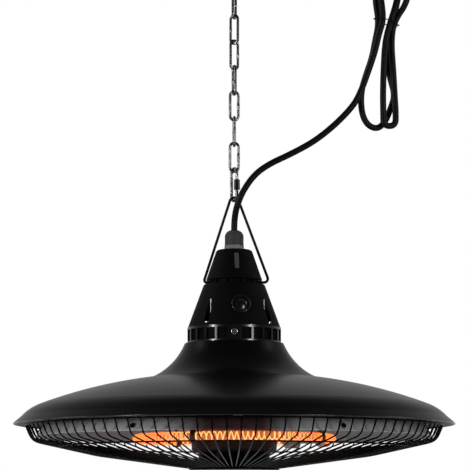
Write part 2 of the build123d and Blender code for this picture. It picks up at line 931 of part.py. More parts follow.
# Vent ring: two bands joined by upright bars, a solid block for its screw and a sleeve inside
vent_top = lower_bottom
vent_step = 360 / vent_bars
vent_front = -90 + vent_block_turn
window_low = vent_bottom + vent_flange
window_high = vent_top - vent_top_band
window_width = 2 * math.pi * vent_radius / vent_bars - vent_bar_width
open_turns = [vent_front + vent_step * number for number in range(1, vent_bars)]
vent_sleeve = vent_flange_inner + vent_sleeve_wall
with BuildPart() as vent_ring:
    add(
        turned_wall(
            (
                (vent_flange_inner, vent_bottom),
                (vent_radius, vent_bottom),
                (vent_radius, vent_top),
                (vent_top_inner, vent_top),
                (vent_top_inner, vent_top - vent_flange),
                (vent_radius - vent_wall, vent_top - vent_flange),
                (vent_radius - vent_wall, window_low),
                (vent_sleeve, window_low),
                (vent_sleeve, vent_top - part_gap),
                (vent_flange_inner, vent_top - part_gap),
            )
        )
    )
    for turn in open_turns:
        with Locations(Location((0, 0, rim_z + (window_low + window_high) / 2), (0, 0, turn))):
            with Locations((vent_radius, 0, 0)):
                Box(3 * vent_wall, window_width, window_high - window_low, mode=Mode.SUBTRACT)
    with BuildSketch(front_plane(vent_block_turn).offset(vent_radius - vent_wall - vent_boss_depth)):
        with Locations((0, vent_screw_height)):
            Circle(vent_boss_radius)
    extrude(amount=vent_wall + vent_boss_length)
    with BuildSketch(front_plane(vent_block_turn)):
        with Locations((0, vent_screw_height)):
            Circle(screw_hole_radius)
    extrude(amount=vent_radius + vent_wall, mode=Mode.SUBTRACT)
    with BuildSketch(rim.offset(vent_top - vent_flange)):
        with PolarLocations(channel_screw_ring, channel_count, start_angle=channel_start):
            Circle(screw_hole_radius)
    extrude(amount=vent_flange, mode=Mode.SUBTRACT)
    with BuildSketch(rim.offset(vent_bottom)):
        with PolarLocations(shade_screw_ring, shade_screws, start_angle=180 / shade_screws):
            Circle(screw_hole_radius)
    extrude(amount=vent_flange, mode=Mode.SUBTRACT)
save(vent_ring, "vent_ring")

# Vent screw on the solid block, along the radius
vent_screw_plane = front_plane(vent_block_turn).offset(vent_radius + vent_screw_gap)
with BuildPart() as vent_screw:
    screw = pan_screw(vent_screw_length, vent_screw_head)
    add(Plane(
        origin=vent_screw_plane.from_local_coords(Vector(0, vent_screw_height, 0)),
        x_dir=vent_screw_plane.x_dir,
        z_dir=vent_screw_plane.z_dir,
    ) * screw)
save(vent_screw, "vent_screw")

# Hanger frame: plate under the shade's neck, tube and flange that carry the reflector
plate_top = vent_bottom - shade_wall
with BuildPart() as hanger_frame:
    tube_outer = hanger_tube_inner + hanger_tube_wall
    add(
        turned_wall(
            (
                (hanger_tube_inner, plate_top),
                (hanger_plate_radius, plate_top),
                (hanger_plate_radius, plate_top - hanger_plate),
                (tube_outer, plate_top - hanger_plate),
                (tube_outer, reflector_top + hanger_plate),
                (hanger_flange_radius, reflector_top + hanger_plate),
                (hanger_flange_radius, reflector_top),
                (hanger_tube_inner, reflector_top),
            )
        )
    )
    with BuildSketch(rim.offset(plate_top - hanger_plate)):
        with PolarLocations(shade_screw_ring, shade_screws, start_angle=180 / shade_screws):
            Circle(screw_hole_radius)
    extrude(amount=hanger_plate, mode=Mode.SUBTRACT)
    with BuildSketch(rim.offset(reflector_top)):
        with PolarLocations(reflector_screw_ring, reflector_screws, start_angle=screw_turn):
            Circle(screw_hole_radius)
    extrude(amount=hanger_plate, mode=Mode.SUBTRACT)
    window_middle = rim_z + reflector_top + hanger_plate + hanger_window_height / 2
    with Locations(Location((0, 0, window_middle), (0, 0, element_gap_turn))):
        with Locations((hanger_tube_inner + hanger_tube_wall, 0, 0)):
            Box(
                hanger_tube_inner,
                hanger_window_width,
                hanger_window_height,
                mode=Mode.SUBTRACT,
            )
save(hanger_frame, "hanger_frame")


def shade_edge(shift):
    """Outline of the shade from its neck to its lip, moved in and down by a shift."""
    neck = (neck_radius - shift, vent_bottom - shift)
    crease = (crease_radius - shift, crease_height - shift)
    shoulder = (shoulder_radius - shift, shoulder_height - shift)
    edge = (edge_radius - shift, edge_height - shift)
    lip = (rim_radius - shift, lip_height - shift)
    SagittaArc(neck, crease, -neck_sagitta)
    dome_arc = SagittaArc(crease, shoulder, dome_sagitta)
    TangentArc(shoulder, edge, tangent=dome_arc % 1)
    Line(edge, lip)


# Shade: one spun shell, open below, with a hole at the neck
with BuildPart() as shade:
    with BuildSketch(profile):
        with BuildLine():
            Line((shade_hole, vent_bottom), (neck_radius, vent_bottom))
            shade_edge(0)
            Line(
                (rim_radius, lip_height),
                (rim_radius - shade_wall, lip_height - shade_wall),
            )
            shade_edge(shade_wall)
            Line(
                (neck_radius - shade_wall, vent_bottom - shade_wall),
                (shade_hole, vent_bottom - shade_wall),
            )
            Line((shade_hole, vent_bottom - shade_wall), (shade_hole, vent_bottom))
        make_face()
    revolve(axis=Axis.Z)
    with BuildSketch(rim.offset(vent_bottom - shade_wall)):
        with PolarLocations(shade_screw_ring, shade_screws, start_angle=180 / shade_screws):
            Circle(screw_hole_radius)
    extrude(amount=shade_wall, mode=Mode.SUBTRACT)
save(shade, "shade")

with BuildPart() as shade_screw_set:
    screw = pan_screw(shade_screw_length)
    with Locations((0, 0, rim_z + window_low)):
        with PolarLocations(shade_screw_ring, shade_screws, start_angle=180 / shade_screws):
            add(screw)
save(shade_screw_set, "shade_screws")

# Reflector: a shallow dish that opens downwards, with a small return lip
skirt_foot = reflector_bottom + reflector_wall
with BuildPart() as reflector:
    add(
        turned_wall(
            (
                (reflector_hole, reflector_top),
                (reflector_flat_radius, reflector_top),
                (reflector_skirt_radius, skirt_foot),
                (reflector_skirt_radius + reflector_lip, skirt_foot),
                (reflector_skirt_radius + reflector_lip, reflector_bottom),
                (reflector_skirt_radius - reflector_wall, reflector_bottom),
                (reflector_flat_radius - reflector_wall, reflector_top - reflector_wall),
                (reflector_hole, reflector_top - reflector_wall),
            )
        )
    )
    with BuildSketch(rim.offset(reflector_top - reflector_wall)):
        with PolarLocations(reflector_screw_ring, reflector_screws, start_angle=screw_turn):
            Circle(screw_hole_radius)
        for turn in lead_turns:
            with PolarLocations(element_radius, 1, start_angle=turn):
                Circle(lead_hole)
        with PolarLocations(cup_screw_ring, cup_screws, start_angle=screw_turn):
            Circle(screw_hole_radius)
    extrude(amount=reflector_wall, mode=Mode.SUBTRACT)
save(reflector, "reflector")

with BuildPart() as reflector_screw_set:
    screw = Rot(180, 0, 0) * pan_screw(reflector_screw_length)
    with Locations((0, 0, rim_z + reflector_top - reflector_wall)):
        with PolarLocations(reflector_screw_ring, reflector_screws, start_angle=screw_turn):
            add(screw)
    short_screw = Rot(180, 0, 0) * pan_screw(cup_screw_length)
    with Locations((0, 0, rim_z + reflector_top - reflector_wall - cup_wall)):
        with PolarLocations(cup_screw_ring, cup_screws, start_angle=screw_turn):
            add(short_screw)
save(reflector_screw_set, "reflector_screws")

# Straps that brace the reflector's skirt against the shade
strap_inner = reflector_flat_radius + reflector_slope * (reflector_top - strap_height) + 2 * part_gap
lip_slope = (rim_radius - edge_radius) / (edge_height - lip_height)
strap_outer = (
    edge_radius - shade_wall + lip_slope * (edge_height - shade_wall - strap_height) - strap_thickness
)
with BuildPart() as reflector_straps:
    with Locations((0, 0, rim_z + strap_height)):
        with PolarLocations((strap_inner + strap_outer) / 2, strap_count, start_angle=strap_turn):
            Box(strap_outer - strap_inner, strap_width, strap_thickness)
save(reflector_straps, "reflector_straps")

# Cup under the middle of the reflector
cup_top = reflector_top - reflector_wall
with BuildPart() as centre_cup:
    add(
        turned_wall(
            (
                (0, cup_bottom),
                (cup_foot_radius - cup_corner, cup_bottom),
                (cup_foot_radius, cup_bottom + cup_corner),
                (cup_radius, cup_top - cup_wall),
                (cup_flange_radius, cup_top - cup_wall),
                (cup_flange_radius, cup_top),
                (cup_radius - cup_wall, cup_top),
                (cup_foot_radius - cup_wall, cup_bottom + cup_corner),
                (cup_foot_radius - cup_corner - cup_wall / 2, cup_bottom + cup_wall),
                (0, cup_bottom + cup_wall),
            )
        )
    )
    with BuildSketch(rim.offset(cup_top - cup_wall)):
        with PolarLocations(cup_screw_ring, cup_screws, start_angle=screw_turn):
            Circle(screw_hole_radius)
    extrude(amount=cup_wall, mode=Mode.SUBTRACT)
save(centre_cup, "centre_cup")


def ring_point(turn):
    """Point of the element's centre line at an angle round the axis."""
    angle = math.radians(turn)
    return Vector(
        element_radius * math.cos(angle),
        element_radius * math.sin(angle),
        rim_z + element_height,
    )


def ring_plane(turn, across=0.0):
    """Plane across the element's centre line, facing along it."""
    angle = math.radians(turn)
    return Plane(
        origin=ring_point(turn),
        x_dir=(math.cos(angle), math.sin(angle), 0),
        z_dir=(-math.sin(angle), math.cos(angle), 0),
    ).offset(across)


# Quartz tube bent to an open ring
with BuildPart() as heating_tube:
    with BuildSketch(ring_plane(element_start)):
        Circle(tube_radius)
        Circle(tube_radius - tube_wall, mode=Mode.SUBTRACT)
    revolve(axis=Axis.Z, revolution_arc=element_sweep)
save(heating_tube, "heating_tube")


def coil_point(share):
    """Point of the heating coil's wire, as a share of its length."""
    angle = math.radians(
        element_start + coil_end_turn + (element_sweep - 2 * coil_end_turn) * share
    )
    phase = 2 * math.pi * coil_turns * share
    radius = element_radius + coil_radius * math.cos(phase)
    height = rim_z + element_height + coil_radius * math.sin(phase)
    return Vector(radius * math.cos(angle), radius * math.sin(angle), height)


def direction_at(curve, share, step=1e-6):
    """Unit direction of a curve given as a function of a share."""
    return (curve(share + step) - curve(share - step)).normalized()


def biarc(start, start_direction, end, end_direction):
    """Two arcs that meet smoothly and leave both ends in given directions."""
    span = end - start
    squares = 2 * (1 - start_direction.dot(end_direction))
    linear = 2 * span.dot(start_direction + end_direction)
    root = math.sqrt(linear**2 + 4 * squares * span.dot(span))
    reach = 2 * span.dot(span) / (linear + root)
    first = start + start_direction * reach
    second = end - end_direction * reach
    middle = (first + second) * 0.5
    return [
        Edge.make_tangent_arc(start, start_direction, middle),
        Edge.make_tangent_arc(middle, (second - first).normalized(), end),
    ]


def least_gap(points, skip, diameter):
    """Least clear gap of a round tube to itself, on points at even steps along its line."""
    least = math.inf
    for number, here in enumerate(points):
        for other in points[number + skip :]:
            least = min(least, (here - other).length)
    return least - diameter


coil_steps = 2 * coil_turns
coil_edges = []
for number in range(coil_steps):
    here, there = number / coil_steps, (number + 1) / coil_steps
    coil_edges += biarc(
        coil_point(here),
        direction_at(coil_point, here),
        coil_point(there),
        direction_at(coil_point, there),
    )
with BuildPart() as heating_coil:
    with BuildLine() as path:
        add(Wire(coil_edges))
    with BuildSketch(Plane(origin=path.line @ 0, z_dir=path.line % 0)):
        Circle(coil_wire / 2)
    sweep()
coil_length = sum(edge.length for edge in coil_edges)
save(heating_coil, "heating_coil")
coil_samples = [
    coil_point(number / (coil_samples_a_turn * coil_turns))
    for number in range(coil_samples_a_turn * coil_sample_turns)
]
coil_gap = least_gap(coil_samples, coil_samples_a_turn // 2, coil_wire)
print(f"heating coil {coil_turns} turns, wire {coil_length:.0f} mm, least gap {coil_gap:.2f} mm")

# Ceramic end caps with posts up to the reflector
cap_bore_angle = math.degrees((cap_overlap + cap_radius) / element_radius)
with BuildPart() as end_caps:
    for side in (-1, 1):
        cap_turn = element_gap_turn + side * element_gap_angle / 2
        mouth = ring_plane(cap_turn, side * cap_overlap)
        with BuildSketch(mouth):
            Circle(cap_radius)
        extrude(amount=-side * cap_length)
        with BuildSketch(ring_plane(cap_turn - (cap_bore_angle if side < 0 else 0))):
            Circle(tube_radius + cap_fit)
        revolve(axis=Axis.Z, revolution_arc=cap_bore_angle, mode=Mode.SUBTRACT)
        post_turn = element_gap_turn + side * (element_gap_angle / 2 - lead_inset)
        with Locations(Location(ring_point(post_turn), (0, 0, post_turn))):
            with Locations((0, 0, cap_radius - cap_post_sink)):
                Box(
                    cap_post_width,
                    cap_post_width / 2,
                    reflector_top - reflector_wall - element_height - cap_radius + cap_post_sink,
                    align=(Align.CENTER, Align.CENTER, Align.MIN),
                )
        with Locations(Location(ring_point(post_turn), (0, 0, post_turn))):
            Cylinder(
                lead_radius + cap_fit,
                2 * (reflector_top - element_height),
                align=(Align.CENTER, Align.CENTER, Align.MIN),
                mode=Mode.SUBTRACT,
            )
save(end_caps, "end_caps")

# Spring clips that hang the tube from the reflector
clip_inner = tube_radius + cap_fit
with BuildPart() as tube_clips:
    for turn in clip_turns:
        across = ring_plane(turn, -clip_width / 2)
        with BuildSketch(across):
            Circle(clip_inner + clip_band)
            Circle(clip_inner, mode=Mode.SUBTRACT)
        extrude(amount=clip_width)
        with Locations(Location(ring_point(turn), (0, 0, turn))):
            with Locations((0, 0, clip_inner + clip_band / 2)):
                Box(
                    clip_band,
                    clip_width,
                    cup_top - element_height - clip_inner - clip_band / 2,
                    align=(Align.CENTER, Align.CENTER, Align.MIN),
                )
            with Locations((0, 0, cup_top - element_height)):
                Box(
                    clip_width * 2,
                    clip_width,
                    clip_band,
                    align=(Align.CENTER, Align.CENTER, Align.MAX),
                )
save(tube_clips, "tube_clips")

# Thermal cut-out on top of the reflector
with BuildPart() as thermal_cutout:
    with BuildSketch(rim.offset(reflector_top)):
        with PolarLocations(cutout_ring, 1, start_angle=cutout_turn):
            Circle(cutout_radius)
    extrude(amount=cutout_height)
    fillet(thermal_cutout.edges().group_by(Axis.Z)[-1], cutout_round)
    with BuildSketch(rim.offset(reflector_top)):
        with PolarLocations(cutout_ring, 1, start_angle=cutout_turn):
            Rectangle(cutout_strap_width, cutout_strap_length)
    extrude(amount=cutout_strap_thickness)
save(thermal_cutout, "thermal_cutout")


def guard_outline(outset):
    """Points of the guard's profile from its top edge to its hub."""
    return (
        (guard_top_radius + outset, -guard_seat_gap),
        (guard_corner_radius + outset, guard_corner_height - outset),
        (guard_mid_radius, guard_mid_height - outset),
        (guard_inner_radius + guard_hub_width, guard_inner_height - outset),
        (guard_inner_radius, guard_inner_height - outset),
    )


# Wire guard: a dish of radial wires between rings, cut as windows in one thin shell
guard_bands = [guard_inner_radius + guard_hub_width + guard_wire]
for radius in sorted(guard_ring_radii):
    guard_bands += [radius - guard_ring_width / 2, radius + guard_ring_width / 2]
guard_bands += [guard_top_radius + 2 * guard_wire]
window_bands = list(zip(guard_bands[0::2], guard_bands[1::2]))
half_window = math.sin(math.pi / guard_wires)
with BuildPart() as guard:
    add(turned_wall(guard_outline(0) + tuple(reversed(guard_outline(guard_wire)))))
    with BuildSketch(rim.offset(2 * guard_inner_height)):
        for near, far in window_bands:
            near_half = near * half_window - guard_wire / 2
            far_half = far * half_window - guard_wire / 2
            with PolarLocations(0, guard_wires):
                Polygon(
                    (near, -near_half),
                    (far, -far_half),
                    (far, far_half),
                    (near, near_half),
                    align=None,
                )
    extrude(amount=-2 * guard_inner_height - guard_top_band, mode=Mode.SUBTRACT)
save(guard, "guard")

# Disc under the guard's hub ring, with a collar up to the cup
disc_top = guard_inner_height - guard_wire
with BuildPart() as guard_disc:
    add(
        turned_wall(
            (
                (0, disc_top - disc_thickness),
                (disc_radius - disc_corner, disc_top - disc_thickness),
                (disc_radius, disc_top - disc_thickness + disc_corner),
                (disc_radius, disc_top),
                (hub_radius, disc_top),
                (hub_radius, cup_bottom),
                (hub_radius - hub_wall, cup_bottom),
                (hub_radius - hub_wall, disc_top),
                (0, disc_top),
            )
        )
    )
save(guard_disc, "guard_disc")


def lip_inside(height):
    """Inner radius of the shade's flared lip at a height above the rim."""
    return edge_radius - shade_wall + lip_slope * (edge_height - shade_wall - height)


# Angled tabs that hold the guard's top band inside the shade's lip
tab_across = guard_tab_thickness * math.hypot(1, lip_slope)
tab_foot_top = guard_tab_thickness - guard_seat_gap
with BuildPart() as guard_tabs:
    for number in range(guard_tab_count):
        with BuildSketch(front_plane(guard_tab_turn + 360 / guard_tab_count * number)):
            with BuildLine():
                Polyline(
                    (guard_top_radius, -guard_seat_gap),
                    (lip_inside(guard_tab_foot) - part_gap, -guard_seat_gap),
                    (lip_inside(guard_tab_foot) - part_gap, guard_tab_foot),
                    (lip_inside(guard_tab_top) - part_gap, guard_tab_top),
                    (lip_inside(guard_tab_top) - part_gap - tab_across, guard_tab_top),
                    (lip_inside(tab_foot_top) - part_gap - tab_across, tab_foot_top),
                    (guard_top_radius, tab_foot_top),
                    close=True,
                )
            make_face()
        revolve(axis=Axis.Z, revolution_arc=guard_tab_angle)
save(guard_tabs, "guard_tabs")

# Two leads from the terminals down the hanger's tube and over the reflector
with BuildPart() as lead_wires:
    for side, turn in zip((1, -1), lead_turns):
        out = Vector(math.cos(math.radians(element_gap_turn)), math.sin(math.radians(element_gap_turn)))
        aside = Vector(-out.Y, out.X) * lead_exit_spread * side
        leave = out * lead_exit_radius - aside
        end = ring_point(turn)
        block_face = terminal_y - terminal_width / 2
        add(
            wire_along(
                (
                    (side * lead_spread, block_face, rim_z + lead_start_height),
                    (side * lead_spread, lead_spread, rim_z + lead_start_height),
                    (side * lead_spread, lead_spread, rim_z + lead_height),
                    (leave.X, leave.Y, rim_z + lead_height),
                    (end.X, end.Y, rim_z + lead_height),
                    (end.X, end.Y, rim_z + lead_end_height),
                ),
                [lead_bend] * 4,
                lead_radius,
            )
        )
save(lead_wires, "lead_wires")

# Mains cord: hand-chosen route from the gland to the hank, as (x, y, height above the rim)
inner_route = (
    (0.0, 0.0, nut_top + gland_seal_proud),
    (0.0, 0.0, 192.0),
    (0.0, terminal_y, 166.0),
    (0.0, terminal_y, tray_top + terminal_height),
)
free_route = (
    (0.0, 0.0, nut_top + gland_seal_proud),
    (0.0, 0.0, 265.0),
    (2.0, -6.5, 279.0),
    (5.5, -12.5, 290.0),
    (12.5, -13.0, 306.0),
    (27.2, -12.0, 326.8),
    (46.8, -11.0, 340.8),
    (74.4, -10.0, 353.6),
    (105.9, -10.0, 370.9),
    (133.6, -10.0, 393.5),
    (157.4, -10.0, 418.8),
    (167.4, -10.0, 438.9),
    (178.1, -10.0, 468.3),
    (186.1, -10.0, 492.5),
    (190.8, -10.0, 514.0),
)
hank_route = (
    (196.9, -10.0, 532.2),
    (195.1, -9.8, 555.2),
    (190.4, -9.4, 587.8),
    (187.9, -9.0, 629.4),
    (187.6, -9.0, 675.0),
    (226.1, -9.0, 675.0),
    (228.0, -8.5, 627.5),
    (231.1, -7.5, 591.3),
    (230.4, -6.0, 559.5),
    (211.5, 0.0, 533.2),
    (207.6, 0.0, 505.2),
    (210.2, 0.5, 466.1),
    (211.6, 0.0, 434.2),
    (212.8, -0.5, 411.3),
    (212.4, -1.5, 392.4),
    (196.1, -4.5, 391.8),
    (196.1, -5.0, 410.4),
    (195.8, -5.6, 432.0),
    (196.8, -5.8, 464.8),
    (199.2, -6.0, 503.9),
    (205.3, -7.8, 527.4),
    (215.7, -7.0, 559.3),
    (221.0, -1.0, 596.1),
    (225.3, 0.0, 631.8),
    (226.3, 0.0, 675.0),
    (187.6, 0.0, 675.0),
    (186.6, 0.0, 631.8),
    (186.9, -0.3, 593.1),
    (187.3, -0.6, 559.9),
    (191.7, -1.0, 531.6),
    (186.1, -1.0, 505.0),
    (182.1, -1.0, 484.0),
    (174.4, -1.0, 462.2),
    (168.0, -0.5, 441.3),
    (167.0, 0.5, 421.9),
    (169.7, 2.0, 404.8),
    (177.5, 4.5, 393.1),
    (189.7, 7.5, 390.0),
    (199.8, 9.5, 400.1),
    (206.9, 10.5, 417.7),
    (212.8, 10.5, 436.2),
    (205.8, 10.0, 460.9),
    (202.4, 9.5, 485.5),
    (204.8, 9.5, 511.4),
    (209.8, 9.6, 535.3),
    (217.5, 9.8, 562.0),
    (223.1, 9.8, 598.1),
    (224.1, 9.8, 636.6),
    (221.4, 9.5, 675.0),
    (201.5, 11.0, 676.0),
    (181.0, 27.5, 672.0),
    (180.5, 28.0, plug_top),
)
free_splits = (3, 6, 8)


def cord_points(route):
    """Points of a route in the part's own frame."""
    return [Vector(x, y, rim_z + height) for x, y, height in route]


def cord_bends(points):
    """Largest bend radius at each inner point that leaves a tenth of its runs straight."""
    bends = []
    for before, here, after in zip(points, points[1:], points[2:]):
        inward, outward = here - before, after - here
        turn = math.radians(inward.get_angle(outward))
        shorter = min(inward.length, outward.length)
        bends.append(cord_straight * shorter / math.tan(turn / 2))
    return bends


def cord_tube(points, bends, name):
    """Round cord along its points, saved under a name; returns its centre line's edges."""
    with BuildPart() as tube:
        with BuildLine() as path:
            FilletPolyline(*points, radius=bends)
        with BuildSketch(Plane(origin=path.line @ 0, z_dir=path.line % 0)):
            Circle(cord_radius)
        sweep()
    length = sum(edge.length for edge in path.edges())
    share = tube.part.volume / (math.pi * cord_radius**2 * length)
    print(f"{name} radius {cord_radius} length {length:.1f} least bend {min(bends):.1f} volume {share:.3f}")
    save(tube, name)
    return path.line, length


inner_points = cord_points(inner_route)
cord_tube(inner_points, [cord_inner_bend] * 2, "cord_inner")

route_points = cord_points(free_route + hank_route[:2])
route_bends = cord_bends(route_points)
hank_start = len(free_route)
first = 0
run_start = route_points[0]
for number, split in enumerate(free_splits + (hank_start - 1,), start=1):
    run_end = (route_points[split] + route_points[split + 1]) / 2
    cord_tube(
        [run_start, *route_points[first + 1 : split + 1], run_end],
        route_bends[first:split],
        f"cord_run_{number}",
    )
    run_start, first = run_end, split

hank_points = [run_start, *cord_points(hank_route)]
whole_bends = cord_bends(cord_points(free_route[-1:] + hank_route))
hank_line, hank_length = cord_tube(hank_points, whole_bends, "cord_hank")
hank_samples = [hank_line @ (number / hank_steps) for number in range(hank_steps + 1)]
hank_skip = int(hank_steps * cord_skip * cord_radius / hank_length)
print(f"cord hank least gap {least_gap(hank_samples, hank_skip, 2 * cord_radius):.2f} mm")

# Wire tie round the strands at the hank's waist
waist = [hank_points[number] for number in waist_points]
waist_middle = sum(waist[1:], waist[0]) / len(waist)
tie_plane = Plane(
    origin=waist_middle,
    x_dir=(math.cos(math.radians(tie_lean)), 0, math.sin(math.radians(-tie_lean))),
    z_dir=(math.sin(math.radians(tie_lean)), 0, math.cos(math.radians(tie_lean))),
)
tie_corners = [tie_plane.to_local_coords(point) for point in waist]
with BuildSketch() as hull:
    with BuildLine():
        Polyline(*[(corner.X, corner.Y) for corner in tie_corners], close=True)
    make_face()
    offset(amount=cord_radius + tie_wire / 2 + tie_gap)
with BuildPart() as cord_tie:
    loop = hull.wire()
    with BuildSketch(Plane(tie_plane.location * Plane(origin=loop @ 0, z_dir=loop % 0).location)):
        Circle(tie_wire / 2)
    sweep(path=tie_plane.location * loop)
    around = [loop @ (number / tie_samples) for number in range(tie_samples)]
    around.sort(key=lambda point: point.X)
    for side, end in ((-1, around[0]), (1, around[-1])):
        with BuildSketch(Plane(origin=tie_plane.from_local_coords(end), z_dir=tie_plane.x_dir * side)):
            Circle(tie_wire / 2)
        extrude(amount=tie_nub)
save(cord_tie, "cord_tie")

# Round plug on the cord's end, hanging behind the hank
plug_plane = Plane(origin=hank_points[-1], z_dir=(0, 0, -1))
with BuildPart() as plug_body:
    with BuildSketch(plug_plane):
        Circle(plug_neck_radius)
    extrude(amount=plug_neck_length)
    with BuildSketch(plug_plane.offset(plug_neck_length)):
        Circle(plug_radius)
    extrude(amount=plug_body_length)
    fillet(plug_body.edges().filter_by(GeomType.CIRCLE).sort_by(SortBy.RADIUS)[-2:], plug_round)
    with BuildSketch(plug_plane.offset(plug_neck_length + plug_body_length)):
        with GridLocations(plug_pin_spacing, 1, 2, 1):
            Circle(plug_pin_radius + hook_fit)
    extrude(amount=-plug_pin_depth, mode=Mode.SUBTRACT)
save(plug_body, "plug_body")

with BuildPart() as plug_pins:
    with BuildSketch(plug_plane.offset(plug_neck_length + plug_body_length - plug_pin_depth)):
        with GridLocations(plug_pin_spacing, 1, 2, 1):
            Circle(plug_pin_radius)
    extrude(amount=plug_pin_depth + plug_pin_length)
    tips = plug_pins.edges().filter_by(GeomType.CIRCLE).group_by(Axis.Z)[0]
    fillet(tips, plug_pin_radius / 2)
save(plug_pins, "plug_pins")
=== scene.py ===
import logging
import math
from dataclasses import dataclass, field

import bmesh
import bpy
from mathutils import Matrix, Vector


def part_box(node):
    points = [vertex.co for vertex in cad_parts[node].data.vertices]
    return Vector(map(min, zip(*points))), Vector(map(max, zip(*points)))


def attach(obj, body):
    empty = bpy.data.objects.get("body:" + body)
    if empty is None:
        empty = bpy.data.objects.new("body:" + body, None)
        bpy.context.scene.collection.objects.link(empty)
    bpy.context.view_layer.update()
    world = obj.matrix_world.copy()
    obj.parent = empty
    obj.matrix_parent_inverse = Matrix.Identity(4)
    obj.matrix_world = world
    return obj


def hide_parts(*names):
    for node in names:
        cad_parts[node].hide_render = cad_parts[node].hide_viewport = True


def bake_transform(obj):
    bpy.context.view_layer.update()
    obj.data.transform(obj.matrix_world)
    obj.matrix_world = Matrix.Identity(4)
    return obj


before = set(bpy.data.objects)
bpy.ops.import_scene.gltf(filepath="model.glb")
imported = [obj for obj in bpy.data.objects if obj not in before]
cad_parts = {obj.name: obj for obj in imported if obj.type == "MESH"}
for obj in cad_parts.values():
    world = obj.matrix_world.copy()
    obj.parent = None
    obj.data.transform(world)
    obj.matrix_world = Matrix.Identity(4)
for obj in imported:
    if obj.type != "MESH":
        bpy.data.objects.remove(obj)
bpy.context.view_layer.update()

log = logging.getLogger("patio_heater")

# The sub-assemblies' lengths are in millimetres, their heights are above the rim, and turns are in degrees.
RIM_Z = -0.734078
MM = 0.001
NOISE_SPAN = (0.3, 0.7)
PATCH_DETAIL = 3.0
RELIEF_DETAIL = 2.0
TUBE_SHARP = 50.0

Point = tuple[float, float, float]
Colour = tuple[float, float, float]


class NodeSheet:
    """Small builder for one material's node tree."""

    def __init__(self, name: str) -> None:
        """Start a material with a principled shader and object coordinates.

        Args:
            name: Name of the material.
        """
        self.material = bpy.data.materials.new(name)
        self.material.use_nodes = True
        self.tree = self.material.node_tree
        self.shader = self.tree.nodes["Principled BSDF"]
        self.output = self.tree.nodes["Material Output"]
        self.coordinates = self.tree.nodes.new("ShaderNodeTexCoord")

    def set(self, socket: str, value: object) -> None:
        """Set a constant on the shader's own socket."""
        self.shader.inputs[socket].default_value = value

    def link(self, start: bpy.types.NodeSocket, end: bpy.types.NodeSocket) -> None:
        """Join two sockets."""
        self.tree.links.new(start, end)

    def noise(self, scale: float, detail: float = 4.0, stretch: Point = (1, 1, 1)) -> bpy.types.NodeSocket:
        """Add a noise texture on object coordinates.

        Args:
            scale: Noise scale per metre.
            detail: Octaves of the noise.
            stretch: Factors on each axis, for brushed looks.

        Returns:
            The noise's factor socket.
        """
        mapping = self.tree.nodes.new("ShaderNodeMapping")
        mapping.inputs["Scale"].default_value = stretch
        self.link(self.coordinates.outputs["Object"], mapping.inputs["Vector"])
        texture = self.tree.nodes.new("ShaderNodeTexNoise")
        texture.inputs["Scale"].default_value = scale
        texture.inputs["Detail"].default_value = detail
        self.link(mapping.outputs["Vector"], texture.inputs["Vector"])
        return texture.outputs["Fac"]

    def ramp(self, source: bpy.types.NodeSocket, low: Colour, high: Colour, start: float = 0.35,
             end: float = 0.65) -> bpy.types.NodeSocket:
        """Add a colour ramp between two colours.

        Args:
            source: Factor socket that drives the ramp.
            low: Colour at and below start.
            high: Colour at and above end.
            start: Factor where the blend starts.
            end: Factor where the blend ends.

        Returns:
            The ramp's colour socket.
        """
        ramp = self.tree.nodes.new("ShaderNodeValToRGB")
        ramp.color_ramp.elements[0].position = start
        ramp.color_ramp.elements[0].color = (*low, 1)
        ramp.color_ramp.elements[1].position = end
        ramp.color_ramp.elements[1].color = (*high, 1)
        self.link(source, ramp.inputs["Fac"])
        return ramp.outputs["Color"]

    def remap(self, source: bpy.types.NodeSocket, start: float, end: float, low: float = 0.0,
              high: float = 1.0) -> bpy.types.NodeSocket:
        """Map a span of values to another span, held at both ends.

        Args:
            source: Socket of the value.
            start: Value that gives low.
            end: Value that gives high.
            low: Result at start.
            high: Result at end.

        Returns:
            The result's socket.
        """
        mapped = self.tree.nodes.new("ShaderNodeMapRange")
        mapped.inputs["From Min"].default_value = start
        mapped.inputs["From Max"].default_value = end
        mapped.inputs["To Min"].default_value = low
        mapped.inputs["To Max"].default_value = high
        self.link(source, mapped.inputs["Value"])
        return mapped.outputs["Result"]

    def spread(self, source: bpy.types.NodeSocket, low: float, high: float) -> bpy.types.NodeSocket:
        """Map the span that a noise mostly covers to a range of values.

        Args:
            source: Factor socket of the noise.
            low: Value at the span's start.
            high: Value at the span's end.

        Returns:
            The mapped value's socket.
        """
        return self.remap(source, *NOISE_SPAN, low, high)

    def math(self, operation: str, *sources: bpy.types.NodeSocket) -> bpy.types.NodeSocket:
        """Add a maths node.

        Args:
            operation: Name of the operation.
            sources: Sockets that it takes, in order.

        Returns:
            The result's socket.
        """
        node = self.tree.nodes.new("ShaderNodeMath")
        node.operation = operation
        for source, place in zip(sources, node.inputs):
            self.link(source, place)
        return node.outputs["Value"]

    def axes(self) -> bpy.types.bpy_prop_collection:
        """Split the object coordinates into sockets named X, Y and Z."""
        split = self.tree.nodes.new("ShaderNodeSeparateXYZ")
        self.link(self.coordinates.outputs["Object"], split.inputs["Vector"])
        return split.outputs

    def bump(self, source: bpy.types.NodeSocket, strength: float, distance: float) -> None:
        """Drive the shader's normal from a height socket.

        Args:
            source: Height socket.
            strength: Strength of the relief.
            distance: Depth of the relief in metres.
        """
        bump = self.tree.nodes.new("ShaderNodeBump")
        bump.inputs["Strength"].default_value = strength
        bump.inputs["Distance"].default_value = distance
        self.link(source, bump.inputs["Height"])
        self.link(bump.outputs["Normal"], self.shader.inputs["Normal"])


